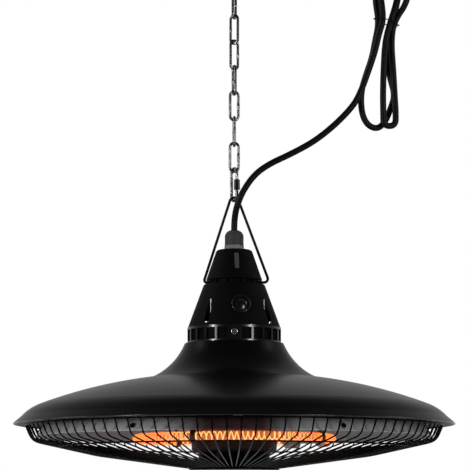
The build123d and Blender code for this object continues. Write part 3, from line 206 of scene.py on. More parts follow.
@dataclass(frozen=True)
class Finish:
    """An even finish with slight changes of colour and gloss and a fine relief."""

    name: str
    colour: Colour
    shade: Colour
    roughness: float
    swing: float
    metallic: float = 0.0
    specular: float = 0.5
    ior: float = 1.5
    coat: float = 0.0
    coat_roughness: float = 0.2
    relief: float = 0.25
    relief_depth: float = 0.0002
    relief_scale: float = 900.0
    patch_scale: float = 9.0

    def material(self) -> bpy.types.Material:
        """Build the finish as a node material."""
        sheet = NodeSheet(self.name)
        sheet.set("Metallic", self.metallic)
        sheet.set("Specular IOR Level", self.specular)
        sheet.set("IOR", self.ior)
        sheet.set("Coat Weight", self.coat)
        sheet.set("Coat Roughness", self.coat_roughness)
        patches = sheet.noise(self.patch_scale, PATCH_DETAIL)
        fine = sheet.noise(self.relief_scale, RELIEF_DETAIL)
        sheet.link(sheet.ramp(patches, self.colour, self.shade), sheet.shader.inputs["Base Color"])
        low, high = self.roughness - self.swing, self.roughness + self.swing
        sheet.link(sheet.spread(patches, low, high), sheet.shader.inputs["Roughness"])
        sheet.bump(fine, self.relief, self.relief_depth)
        return sheet.material


@dataclass(frozen=True)
class GlowingWire:
    """Hot resistance wire that gives off light of its own."""

    name: str = "glowing_wire"
    body: Colour = (0.3, 0.12, 0.05)
    roughness: float = 0.6
    hot: Colour = (1.0, 0.46, 0.12)
    cooler: Colour = (1.0, 0.20, 0.03)
    strength: float = 2.0
    hot_half_width: float = 0.05
    cooler_half_width: float = 0.1

    def material(self) -> bpy.types.Material:
        """Build the glow, yellower in the middle of the ring and redder at its sides."""
        sheet = NodeSheet(self.name)
        sheet.set("Base Color", (*self.body, 1))
        sheet.set("Roughness", self.roughness)
        side = sheet.math("ABSOLUTE", sheet.axes()["X"])
        heat = sheet.remap(side, self.hot_half_width, self.cooler_half_width)
        glow = sheet.ramp(heat, self.hot, self.cooler, 0.0, 1.0)
        sheet.link(glow, sheet.shader.inputs["Emission Color"])
        sheet.set("Emission Strength", self.strength)
        return sheet.material


@dataclass(frozen=True)
class HeatedGlass:
    """Clear quartz tube, with a painted glow that stands in for the coil's light inside it."""

    name: str = "heated_quartz"
    tint: Colour = (1.0, 0.75, 0.55)
    haze_tint: Colour = (1.0, 0.6, 0.4)
    haze_scale: float = 45.0
    roughness: float = 0.12
    specular: float = 0.6
    opacity: float = 0.13
    glow: Colour = (1.0, 0.13, 0.02)
    strength: float = 0.7

    def material(self) -> bpy.types.Material:
        """Build thin glass with a painted warm glow and faint haze."""
        sheet = NodeSheet(self.name)
        haze = sheet.noise(self.haze_scale)
        sheet.link(sheet.ramp(haze, self.tint, self.haze_tint), sheet.shader.inputs["Base Color"])
        sheet.set("Roughness", self.roughness)
        sheet.set("Specular IOR Level", self.specular)
        sheet.set("Alpha", self.opacity)
        # Painted glow: the glass emits the coil's warm light as its own.
        sheet.set("Emission Color", (*self.glow, 1))
        sheet.set("Emission Strength", self.strength)
        return sheet.material


POWDER_BLACK = Finish("powder_black", (0.0022, 0.0022, 0.0023), (0.0030, 0.0030, 0.0031), 0.3, 0.02,
                      ior=1.12, relief=0.2, relief_depth=0.00015, relief_scale=1500.0)
BEAD_BLACK = Finish("bead_black", (0.0030, 0.0030, 0.0032), (0.0040, 0.0040, 0.0042), 0.2, 0.02,
                    specular=0.4, coat=0.1, relief=0.03, relief_depth=0.0001, relief_scale=700.0)
MOULDED_BLACK = Finish("moulded_black", (0.0028, 0.0028, 0.0029), (0.0036, 0.0036, 0.0038), 0.58, 0.04,
                       ior=1.1, relief=0.2, relief_depth=0.0001, relief_scale=2200.0)
GLOSS_BLACK = Finish("gloss_black", (0.0030, 0.0030, 0.0032), (0.0042, 0.0042, 0.0045), 0.22, 0.03,
                     specular=0.35, coat=0.3, relief=0.04, relief_depth=0.0001, relief_scale=300.0)
GLAND_BLACK = Finish("gland_black", (0.040, 0.040, 0.041), (0.048, 0.048, 0.049), 0.45, 0.04,
                     ior=1.15, relief=0.12, relief_depth=0.0001, relief_scale=1800.0)
HEX_GREY = Finish("gland_hex_grey", (0.17, 0.17, 0.172), (0.20, 0.20, 0.202), 0.45, 0.04,
                  ior=1.3, relief=0.12, relief_depth=0.0001, relief_scale=1800.0)
# Light grey for thin strips that paint highlights on the housing's channel walls.
GLINT_STRIP_GREY = Finish("channel_glint_strip_grey", (0.62, 0.62, 0.62), (0.70, 0.70, 0.70), 0.35, 0.04,
                  relief=0.05, relief_depth=0.0001, relief_scale=900.0)
LATCH_GREY = Finish("latch_grey", (0.055, 0.055, 0.056), (0.065, 0.065, 0.066), 0.5, 0.04,
                    ior=1.3, relief=0.12, relief_depth=0.0001, relief_scale=1800.0)
CORD_BLACK = Finish("cord_rubber", (0.0030, 0.0030, 0.0032), (0.0042, 0.0042, 0.0044), 0.42, 0.05,
                    ior=1.2, relief=0.14, relief_depth=0.0001, relief_scale=1600.0)
WIRE_BLACK = Finish("coated_wire", (0.0030, 0.0030, 0.0032), (0.0045, 0.0045, 0.0047), 0.38, 0.05,
                    ior=1.2, relief=0.1, relief_depth=0.0001, relief_scale=1800.0)
GUARD_BLACK = Finish("guard_wire", (0.0022, 0.0022, 0.0023), (0.0034, 0.0034, 0.0035), 0.22, 0.04,
                     ior=1.07, relief=0.1, relief_depth=0.0001, relief_scale=1800.0)
ZINC = Finish("zinc_steel", (0.22, 0.212, 0.204), (0.12, 0.115, 0.11), 0.2, 0.05,
              metallic=1.0, relief=0.06, relief_depth=0.0001, relief_scale=1200.0, patch_scale=160.0)
BRIGHT_STEEL = Finish("bright_screw", (0.62, 0.61, 0.59), (0.42, 0.41, 0.39), 0.24, 0.06,
                      metallic=1.0, relief=0.08, relief_depth=0.0001, relief_scale=900.0, patch_scale=220.0)
SHEET_STEEL = Finish("plated_sheet", (0.34, 0.34, 0.33), (0.25, 0.25, 0.24), 0.42, 0.06,
                     metallic=1.0, relief=0.1, relief_depth=0.0001, relief_scale=700.0, patch_scale=40.0)
CERAMIC = Finish("white_ceramic", (0.62, 0.60, 0.55), (0.52, 0.49, 0.44), 0.7, 0.05,
                 relief=0.2, relief_depth=0.0001, relief_scale=1500.0, patch_scale=60.0)
LEAD_SLEEVE = Finish("lead_sleeve", (0.42, 0.39, 0.33), (0.34, 0.31, 0.26), 0.75, 0.05,
                     relief=0.4, relief_depth=0.0002, relief_scale=2500.0, patch_scale=90.0)
BROWNED_STEEL = Finish("browned_steel", (0.11, 0.045, 0.032), (0.07, 0.030, 0.022), 0.45, 0.05,
                       metallic=0.6, relief=0.1, relief_depth=0.0001, relief_scale=700.0, patch_scale=60.0)
TERMINAL = Finish("terminal_plastic", (0.5, 0.49, 0.45), (0.44, 0.43, 0.39), 0.5, 0.04,
                  relief=0.1, relief_depth=0.0001, relief_scale=1800.0)
BOARD = Finish("circuit_board", (0.02, 0.07, 0.035), (0.03, 0.09, 0.045), 0.32, 0.05,
               relief=0.1, relief_depth=0.0001, relief_scale=900.0, patch_scale=120.0)
TIE = Finish("tie_wire", (0.0030, 0.0030, 0.0032), (0.0045, 0.0045, 0.0047), 0.5, 0.05,
             ior=1.12, relief=0.1, relief_depth=0.0001, relief_scale=1500.0)


@dataclass(frozen=True)
class HotReflector:
    """Matt aluminium, greyer outside and browned by heat towards the middle, with painted brightening and
    painted shade on the skirt.
    """

    name: str = "reflector_sheet"
    outer: Colour = (0.15, 0.15, 0.152)
    inner: Colour = (0.022, 0.014, 0.013)
    inner_radius: float = 0.085
    outer_radius: float = 0.2
    # Painted brightening: the skirt takes a lighter, less metallic grey than the flat sheet.
    skirt: Colour = (0.34, 0.34, 0.345)
    # Painted shade: the skirt darkens to this brown towards its front and back, near X = 0.
    painted_shade_brown: Colour = (0.045, 0.022, 0.020)
    skirt_start: float = 0.228
    skirt_end: float = 0.234
    painted_shade_half_width: float = 0.085
    painted_shade_core: float = 0.4
    flat_metallic: float = 0.75
    skirt_metallic: float = 0.1
    gloss: tuple[float, float] = (0.46, 0.6)
    flat_span: tuple[float, float] = (0.1, 0.9)
    patch_scale: float = 14.0
    rolled: Point = (1, 1, 10)
    rolled_scale: float = 500.0
    relief: float = 0.15
    relief_depth: float = 0.0002

    def material(self) -> bpy.types.Material:
        """Build the radial change of colour over a rolled grain, with the skirt's painted brightening and
        painted shade.
        """
        sheet = NodeSheet(self.name)
        axes = sheet.axes()
        flat = sheet.tree.nodes.new("ShaderNodeCombineXYZ")
        sheet.link(axes["X"], flat.inputs["X"])
        sheet.link(axes["Y"], flat.inputs["Y"])
        length = sheet.tree.nodes.new("ShaderNodeVectorMath")
        length.operation = "LENGTH"
        sheet.link(flat.outputs["Vector"], length.inputs[0])
        radius = length.outputs["Value"]
        share = sheet.remap(radius, self.inner_radius, self.outer_radius)
        flat_colour = sheet.ramp(share, self.inner, self.outer, *self.flat_span)
        # Painted shade on the skirt, darker brown towards X = 0 at its front and back.
        side = sheet.math("ABSOLUTE", axes["X"])
        painted_shade = sheet.remap(side, self.painted_shade_core * self.painted_shade_half_width, self.painted_shade_half_width)
        skirt_colour = sheet.ramp(painted_shade, self.painted_shade_brown, self.skirt, 0.0, 1.0)
        # Painted brightening: the skirt, outside the flat, takes the lighter grey.
        outside = sheet.remap(radius, self.skirt_start, self.skirt_end)
        blend = sheet.tree.nodes.new("ShaderNodeMix")
        blend.data_type = "RGBA"
        sheet.link(outside, blend.inputs["Factor"])
        sheet.link(flat_colour, blend.inputs["A"])
        sheet.link(skirt_colour, blend.inputs["B"])
        sheet.link(blend.outputs["Result"], sheet.shader.inputs["Base Color"])
        metal = sheet.remap(outside, 0.0, 1.0, self.flat_metallic, self.skirt_metallic)
        sheet.link(metal, sheet.shader.inputs["Metallic"])
        patches = sheet.noise(self.patch_scale)
        sheet.link(sheet.spread(patches, *self.gloss), sheet.shader.inputs["Roughness"])
        grain = sheet.noise(self.rolled_scale, PATCH_DETAIL, self.rolled)
        sheet.bump(grain, self.relief, self.relief_depth)
        return sheet.material


CUP_SHEET = HotReflector("cup_sheet", outer=(0.030, 0.020, 0.019), inner=(0.018, 0.012, 0.011),
                         inner_radius=0.03, outer_radius=0.06)


def link_object(name: str, mesh: bpy.types.Mesh, material: bpy.types.Material) -> bpy.types.Object:
    """Put a mesh into the scene as an object.

    Args:
        name: Name of the object.
        mesh: Its mesh, in metres in the shared frame.
        material: Its material.

    Returns:
        The new object.
    """
    piece = bpy.data.objects.new(name, mesh)
    mesh.materials.append(material)
    bpy.context.scene.collection.objects.link(piece)
    return piece


def lathe(name: str, outline: list[tuple[float, float]], material: bpy.types.Material, segments: int = 256,
          sharp: float = 35.0) -> bpy.types.Object:
    """Turn an outline of radius and height above the rim, in millimetres, about the vertical axis.

    Args:
        name: Name of the object.
        outline: Closed outline as (radius, height) pairs.
        material: Its material.
        segments: Sides of each ring.
        sharp: Angle in degrees above which a ring edge stays sharp.

    Returns:
        The new object.
    """
    mesh = bpy.data.meshes.new(name)
    shape = bmesh.new()
    rings = []
    for radius, height in outline:
        z = RIM_Z + height * MM
        rings.append([
            shape.verts.new((
                radius * MM * math.cos(2 * math.pi * step / segments),
                radius * MM * math.sin(2 * math.pi * step / segments),
                z,
            ))
            for step in range(segments)
        ])
    for first, second in zip(rings, rings[1:] + rings[:1]):
        for step in range(segments):
            after = (step + 1) % segments
            shape.faces.new((first[step], first[after], second[after], second[step]))
    finish_mesh(shape, mesh, sharp)
    return link_object(name, mesh, material)


def finish_mesh(shape: bmesh.types.BMesh, mesh: bpy.types.Mesh, sharp: float) -> None:
    """Turn normals outward, shade smooth with sharp edges kept, and write the mesh.

    Args:
        shape: Mesh being built.
        mesh: Mesh data that takes it.
        sharp: Angle in degrees above which an edge stays sharp.
    """
    bmesh.ops.recalc_face_normals(shape, faces=shape.faces)
    for face in shape.faces:
        face.smooth = True
    for edge in shape.edges:
        if len(edge.link_faces) == 2 and edge.calc_face_angle(0) > math.radians(sharp):
            edge.smooth = False
    shape.to_mesh(mesh)
    shape.free()


def sweep_round(shape: bmesh.types.BMesh, points: list[Vector], radii: list[float], sides: int,
                closed: bool = False) -> None:
    """Add a round tube along points to a mesh, with frames carried along it.

    Args:
        shape: Mesh that takes the tube.
        points: Centre points.
        radii: Radius at each point.
        sides: Sides of each ring.
        closed: Whether the tube joins its own start.
    """
    count = len(points)
    tangents = []
    for number in range(count):
        before = points[number - 1] if number or closed else points[number]
        after = points[(number + 1) % count] if number < count - 1 or closed else points[number]
        tangents.append((after - before).normalized())
    side = tangents[0].orthogonal().normalized()
    rings = []
    for number in range(count):
        side = (side - tangents[number] * side.dot(tangents[number])).normalized()
        up = tangents[number].cross(side)
        rings.append([
            shape.verts.new(points[number] + (side * math.cos(turn) + up * math.sin(turn)) * radii[number])
            for turn in (2 * math.pi * step / sides for step in range(sides))
        ])
    pairs = list(zip(rings, rings[1:]))
    for first, second in pairs:
        for step in range(sides):
            after = (step + 1) % sides
            shape.faces.new((first[step], first[after], second[after], second[step]))
    if closed:
        first, second = rings[-1], rings[0]
        shift = min(range(sides), key=lambda s: (first[0].co - second[s].co).length)
        for step in range(sides):
            after = (step + 1) % sides
            shape.faces.new((
                first[step], first[after], second[(after + shift) % sides], second[(step + shift) % sides],
            ))
    else:
        shape.faces.new(list(reversed(rings[0])))
        shape.faces.new(rings[-1])


def tube(name: str, points: list[Vector], radius: float | list[float], material: bpy.types.Material,
         sides: int = 20, closed: bool = False) -> bpy.types.Object:
    """Make a round tube along points as one object.

    Args:
        name: Name of the object.
        points: Centre points in metres.
        radius: One radius in metres, or one for each point.
        material: Its material.
        sides: Sides of each ring.
        closed: Whether the tube joins its own start.

    Returns:
        The new object.
    """
    mesh = bpy.data.meshes.new(name)
    shape = bmesh.new()
    radii = [radius] * len(points) if isinstance(radius, float) else radius
    sweep_round(shape, points, radii, sides, closed)
    finish_mesh(shape, mesh, TUBE_SHARP)
    return link_object(name, mesh, material)


def nurbs_points(name: str, route: list[Point], resolution: int = 12) -> list[Vector]:
    """Read the smooth NURBS line through a route's control points.

    Args:
        name: Name for the helper curve.
        route: Control points in metres.
        resolution: Steps of the curve for each control point.

    Returns:
        Points along the smooth line.
    """
    curve = bpy.data.curves.new(name, "CURVE")
    curve.dimensions = "3D"
    curve.resolution_u = resolution
    spline = curve.splines.new("NURBS")
    spline.points.add(len(route) - 1)
    for control, place in zip(spline.points, route):
        control.co = (*place, 1)
    spline.order_u = 3
    spline.use_endpoint_u = True
    holder = bpy.data.objects.new(name, curve)
    bpy.context.scene.collection.objects.link(holder)
    bpy.context.view_layer.update()
    mesh = bpy.data.meshes.new_from_object(holder)
    points = [vertex.co.copy() for vertex in mesh.vertices]
    bpy.data.meshes.remove(mesh)
    bpy.data.objects.remove(holder)
    bpy.data.curves.remove(curve)
    return points


def dress(node: str, material: bpy.types.Material) -> None:
    """Give a CAD node a material in place of the one it came with."""
    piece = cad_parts[node]
    if not piece.material_slots:
        piece.data.materials.append(material)
    for place in piece.material_slots:
        place.material = material
    log.info("dressed %s with %s", node, material.name)


def report(piece: bpy.types.Object) -> None:
    """Log one finished piece with its face count."""
    faces = len(piece.data.polygons) if piece.type == "MESH" else 0
    log.info("built %s, %d faces", piece.name, faces)


@dataclass
class FinishBox:
    """The materials, each built once from its finish."""

    made: dict[str, bpy.types.Material] = field(default_factory=dict)

    def take(self, finish: Finish | GlowingWire | HeatedGlass | HotReflector) -> bpy.types.Material:
        """Give the material of a finish, building it the first time.

        Args:
            finish: The finish wanted.

        Returns:
            Its material.
        """
        if finish.name not in self.made:
            self.made[finish.name] = finish.material()
        return self.made[finish.name]


@dataclass
class Hanging:
    """Ceiling plate, hooks, chain, quick link and bail."""

    link_turns: tuple[int, ...] = (0, 80, -10, 70, 149, 31, 107, 15, 95, -2)
    wire: float = 3.7
    drawn_wire: float = 3.0
    drawn_width: float = 13.4
    weld_swell: float = 0.22
    weld_reach: float = 2.2
    bend_steps: int = 14
    straight_steps: int = 40
    wire_sides: int = 16

    def link_line(self, length: float) -> tuple[list[tuple[float, float]], list[float]]:
        """Give one link's closed centre line and its wire radii, in millimetres.

        The wire grows outwards only, so its inner outline stays that of the drawn link.

        Args:
            length: Outside length of the drawn link.

        Returns:
            Points as (across, up), and the wire's radius at each of them.
        """
        bend = (self.drawn_width - 2 * self.drawn_wire + self.wire) / 2
        straight = (length - self.drawn_width) / 2
        line = []
        for middle, start in ((straight, 0.0), (-straight, math.pi)):
            line += [
                (bend * math.cos(start + turn), middle + bend * math.sin(start + turn))
                for turn in (math.pi * step / self.bend_steps for step in range(self.bend_steps + 1))
            ]
            side = math.cos(start + math.pi) * bend
            line += [
                (side, middle - 2 * middle * step / self.straight_steps)
                for step in range(1, self.straight_steps)
            ]
        radii = []
        for across, up in line:
            swell = self.weld_swell * math.exp(-((up / self.weld_reach) ** 2)) if across > 0 else 0.0
            radii.append(self.wire / 2 + swell)
        return line, radii

    def link(self, number: int, turn: float, material: bpy.types.Material) -> None:
        """Build one welded link in place of its CAD node.

        Args:
            number: Place in the chain, from the ceiling down.
            turn: The link's turn about the vertical in degrees.
            material: Its material.
        """
        node = f"chain_link_{number:02d}"
        low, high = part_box(node)
        line, radii = self.link_line((high[2] - low[2]) / MM)
        middle = (low[2] + high[2]) / 2
        angle = math.radians(turn)
        points = [
            Vector((across * MM * math.cos(angle), across * MM * math.sin(angle), middle + up * MM))
            for across, up in line
        ]
        radii = [radius * MM for radius in radii]
        piece = tube(f"steel_link_{number:02d}", points, radii, material, self.wire_sides, True)
        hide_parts(node)
        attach(piece, "top_link" if number == 1 else "chain")
        report(piece)

    def build(self, finishes: FinishBox) -> None:
        """Dress the hanging hardware's CAD nodes and build the chain's links."""
        zinc = finishes.take(ZINC)
        for node in ("ceiling_plate", "ceiling_hook", "cord_hook", "quick_link", "quick_link_sleeve"):
            dress(node, zinc)
        for number, turn in enumerate(self.link_turns, start=1):
            self.link(number, turn, zinc)
        dress("bail", finishes.take(WIRE_BLACK))


@dataclass
class Housing:
    """Stepped plastic housing, gland, button and vent ring."""

    backing_radius: float = 58.0
    backing_wall: float = 0.8
    backing_low: float = 107.2
    backing_high: float = 122.7
    backing_segments: int = 128
    # Painted highlights: thin light-grey strips stand in for glints on the channels' back walls.
    glint_strips: int = 4
    glint_turn: float = -38.0
    glint_ring: float = 48.6
    glint_radius: float = 0.8
    glint_low: float = 140.5
    glint_high: float = 160.5
    glint_steps: int = 8
    glint_end_share: float = 0.5
    glint_sides: int = 12

    def build(self, finishes: FinishBox) -> None:
        """Dress the housing's CAD nodes and add the vents' backing and the channels' painted highlight
        strips.
        """
        moulded = finishes.take(MOULDED_BLACK)
        for node in ("upper_cone", "lower_cone", "bail_bracket", "control_tray", "gland_locknut",
                     "plug_body"):
            dress(node, moulded)
        dress("cone_latch", finishes.take(LATCH_GREY))
        dress("gland_body", finishes.take(HEX_GREY))
        dress("gland_nut", finishes.take(GLAND_BLACK))
        dress("gland_seal", finishes.take(CORD_BLACK))
        gloss = finishes.take(GLOSS_BLACK)
        for node in ("vent_ring", "button_bezel", "power_button", "switch_plunger", "push_switch"):
            dress(node, gloss)
        steel = finishes.take(BRIGHT_STEEL)
        for node in ("bracket_screws", "channel_screws", "vent_screw", "shade_screws", "reflector_screws",
                     "plug_pins"):
            dress(node, steel)
        dress("control_board", finishes.take(BOARD))
        dress("terminal_block", finishes.take(TERMINAL))
        low, high = self.backing_low, self.backing_high
        inner, outer = self.backing_radius - self.backing_wall, self.backing_radius
        outline = [(inner, low), (outer, low), (outer, high), (inner, high)]
        backing = lathe("vent_backing", outline, moulded, self.backing_segments)
        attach(backing, "heater")
        report(backing)
        # Painted highlight strips, one on each channel's back wall.
        steps = range(self.glint_steps + 1)
        rise = (self.glint_high - self.glint_low) / self.glint_steps
        radii = [self.glint_radius * MM] * len(steps)
        radii[0] = radii[-1] = self.glint_radius * MM * self.glint_end_share
        for number in range(self.glint_strips):
            angle = math.radians(self.glint_turn + 360 * number / self.glint_strips)
            spot = Vector((math.cos(angle), math.sin(angle), 0)) * self.glint_ring * MM
            line = [Vector((spot.x, spot.y, RIM_Z + (self.glint_low + rise * step) * MM)) for step in steps]
            glint_strip = tube(f"channel_glint_strip_{number + 1}", line, radii, finishes.take(GLINT_STRIP_GREY), self.glint_sides)
            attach(glint_strip, "heater")
            report(glint_strip)


@dataclass
class Shade:
    """Spun shade with its flared lip, and the sheet parts behind it."""

    bead_ring: float = 284.05
    bead_height: float = 0.6
    bead_radius: float = 0.75
    bead_sides: int = 12
    bead_segments: int = 360
    bead_sharp: float = 60.0

    def build(self, finishes: FinishBox) -> None:
        """Dress the shade and the sheet parts, and add the bead on the lip."""
        dress("shade", finishes.take(POWDER_BLACK))
        outline = [
            (
                self.bead_ring + self.bead_radius * math.cos(turn),
                self.bead_height + self.bead_radius * math.sin(turn),
            )
            for turn in (2 * math.pi * step / self.bead_sides for step in range(self.bead_sides))
        ]
        bead = lathe("lip_bead", outline, finishes.take(BEAD_BLACK), self.bead_segments, self.bead_sharp)
        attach(bead, "heater")
        report(bead)
        sheet = finishes.take(SHEET_STEEL)
        for node in ("hanger_frame", "thermal_cutout", "guard_tabs", "reflector_straps"):
            dress(node, sheet)
        dress("tube_clips", finishes.take(BROWNED_STEEL))


@dataclass
class HeaterCore:
    """Reflector, cup, quartz ring and glowing coil."""

    ring_radius: float = 125.7
    ring_height: float = -18.0
    start_turn: float = 52.0
    sweep_turn: float = 330.0
    end_turn: float = 7.0
    coil_radius: float = 4.7
    coil_wire: float = 1.3
    coil_turns: int = 100
    coil_steps: int = 16
    coil_sides: int = 8

    def build(self, finishes: FinishBox) -> None:
        """Dress the core and build the glowing coil."""
        dress("reflector", finishes.take(HotReflector()))
        dress("centre_cup", finishes.take(CUP_SHEET))
        dress("heating_tube", finishes.take(HeatedGlass()))
        dress("end_caps", finishes.take(CERAMIC))
        dress("lead_wires", finishes.take(LEAD_SLEEVE))
        points = []
        count = self.coil_turns * self.coil_steps
        first_turn = self.start_turn + self.end_turn
        coiled_turn = self.sweep_turn - 2 * self.end_turn
        for step in range(count + 1):
            share = step / count
            angle = math.radians(first_turn + coiled_turn * share)
            phase = 2 * math.pi * self.coil_turns * share
            radius = (self.ring_radius + self.coil_radius * math.cos(phase)) * MM
            points.append(Vector((
                radius * math.cos(angle),
                radius * math.sin(angle),
                RIM_Z + (self.ring_height + self.coil_radius * math.sin(phase)) * MM,
            )))
        wire = self.coil_wire / 2 * MM
        coil = tube("glowing_coil", points, wire, finishes.take(GlowingWire()), self.coil_sides)
        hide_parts("heating_coil")
        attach(coil, "heater")
        report(coil)


@dataclass
class SkirtScrews:
    """Dark pan heads round the reflector's skirt, each with a socket.

    The outline gives radius and rise in millimetres, from the seat up and in to the socket's floor.
    """

    count: int = 6
    ring: float = 252.1
    height: float = -9.6
    start_turn: float = -118.7
    tilt: float = 25.5
    outline: tuple[tuple[float, float], ...] = (
        (3.2, 0.0),
        (3.2, 0.7),
        (2.7, 1.4),
        (1.5, 1.8),
        (1.2, 1.8),
        (1.1, 0.8),
        (0.0, 0.8),
    )
    sides: int = 24
    sharp: float = 40.0

    def build(self, finishes: FinishBox) -> None:
        """Build the heads as one piece that rides with the reflector."""
        mesh = bpy.data.meshes.new("skirt_screws")
        shape = bmesh.new()
        for number in range(self.count):
            turn = math.radians(self.start_turn + 360 * number / self.count)
            spot = Vector((math.cos(turn), math.sin(turn), 0)) * self.ring * MM
            spot.z = RIM_Z + self.height * MM
            seat = Matrix.Translation(spot) @ Matrix.Rotation(turn, 4, "Z") @ Matrix.Rotation(
                math.radians(90 - self.tilt), 4, "Y")
            rings = []
            for radius, rise in self.outline[:-1]:
                places = [
                    Vector((radius * MM * math.cos(side), radius * MM * math.sin(side), rise * MM))
                    for side in (2 * math.pi * step / self.sides for step in range(self.sides))
                ]
                rings.append([shape.verts.new(seat @ place) for place in places])
            middle = shape.verts.new(seat @ Vector((0, 0, self.outline[-1][1] * MM)))
            for first, second in zip(rings, rings[1:]):
                for step in range(self.sides):
                    after = (step + 1) % self.sides
                    shape.faces.new((first[step], first[after], second[after], second[step]))
            for step in range(self.sides):
                shape.faces.new((rings[-1][step], rings[-1][(step + 1) % self.sides], middle))
            shape.faces.new(list(reversed(rings[0])))
        finish_mesh(shape, mesh, self.sharp)
        heads = link_object("skirt_screws", mesh, finishes.take(GUARD_BLACK))
        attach(heads, "heater")
        report(heads)


@dataclass
class WireGuard:
    """Radial wires bent over three rings, with the disc at the foot."""

    wires: int = 96
    wire: float = 2.0
    top_radius: float = 269.0
    corner_radius: float = 260.3
    corner_height: float = -21.0
    mid_radius: float = 178.0
    mid_height: float = -39.2
    foot_corner: float = 60.5
    foot_radius: float = 57.2
    foot_height: float = -55.0
    top_height: float = -1.0
    bend: float = 9.0
    bend_steps: int = 5
    bend_share: float = 0.45
    top_ring: tuple[float, float] = (269.0, -1.2)
    foot_ring: tuple[float, float] = (57.5, -55.0)
    middle_ring: float = 226.0
    middle_lift: float = 0.4
    wire_sides: int = 8
    ring_steps: int = 240
    sharp: float = 60.0

    def profile(self) -> list[tuple[float, float]]:
        """Give the wire's centre line as radius and height, with rounded corners."""
        corners = [
            Vector((self.top_radius, self.top_height)),
            Vector((self.corner_radius, self.corner_height)),
            Vector((self.mid_radius, self.mid_height)),
            Vector((self.foot_corner, self.foot_height)),
            Vector((self.foot_radius, self.foot_height)),
        ]
        line = [corners[0]]
        for before, here, after in zip(corners, corners[1:], corners[2:]):
            shorter = min((here - before).length, (after - here).length)
            reach = min(self.bend, shorter * self.bend_share)
            start = here + (before - here).normalized() * reach
            end = here + (after - here).normalized() * reach
            for step in range(self.bend_steps + 1):
                share = step / self.bend_steps
                line.append(start * (1 - share) ** 2 + here * 2 * share * (1 - share) + end * share**2)
        line.append(corners[-1])
        return [(point.x, point.y) for point in line]

    def build(self, finishes: FinishBox) -> None:
        """Build the guard's wires and rings as one piece in place of the slotted dish."""
        mesh = bpy.data.meshes.new("guard_wires")
        shape = bmesh.new()
        line = self.profile()
        for number in range(self.wires):
            turn = 2 * math.pi * (number + 0.5) / self.wires
            points = [
                Vector((radius * MM * math.cos(turn), radius * MM * math.sin(turn), RIM_Z + height * MM))
                for radius, height in line
            ]
            sweep_round(shape, points, [self.wire / 2 * MM] * len(points), self.wire_sides)
        share = (self.middle_ring - self.mid_radius) / (self.corner_radius - self.mid_radius)
        middle_height = self.mid_height + share * (self.corner_height - self.mid_height) + self.middle_lift
        for radius, height in (self.top_ring, self.foot_ring, (self.middle_ring, middle_height)):
            points = [
                Vector((radius * MM * math.cos(turn), radius * MM * math.sin(turn), RIM_Z + height * MM))
                for turn in (2 * math.pi * step / self.ring_steps for step in range(self.ring_steps))
            ]
            sweep_round(shape, points, [self.wire / 2 * MM] * len(points), self.wire_sides, closed=True)
        finish_mesh(shape, mesh, self.sharp)
        guard = link_object("guard_wires", mesh, finishes.take(GUARD_BLACK))
        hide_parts("guard")
        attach(guard, "heater")
        report(guard)
        dress("guard_disc", finishes.take(GUARD_BLACK))


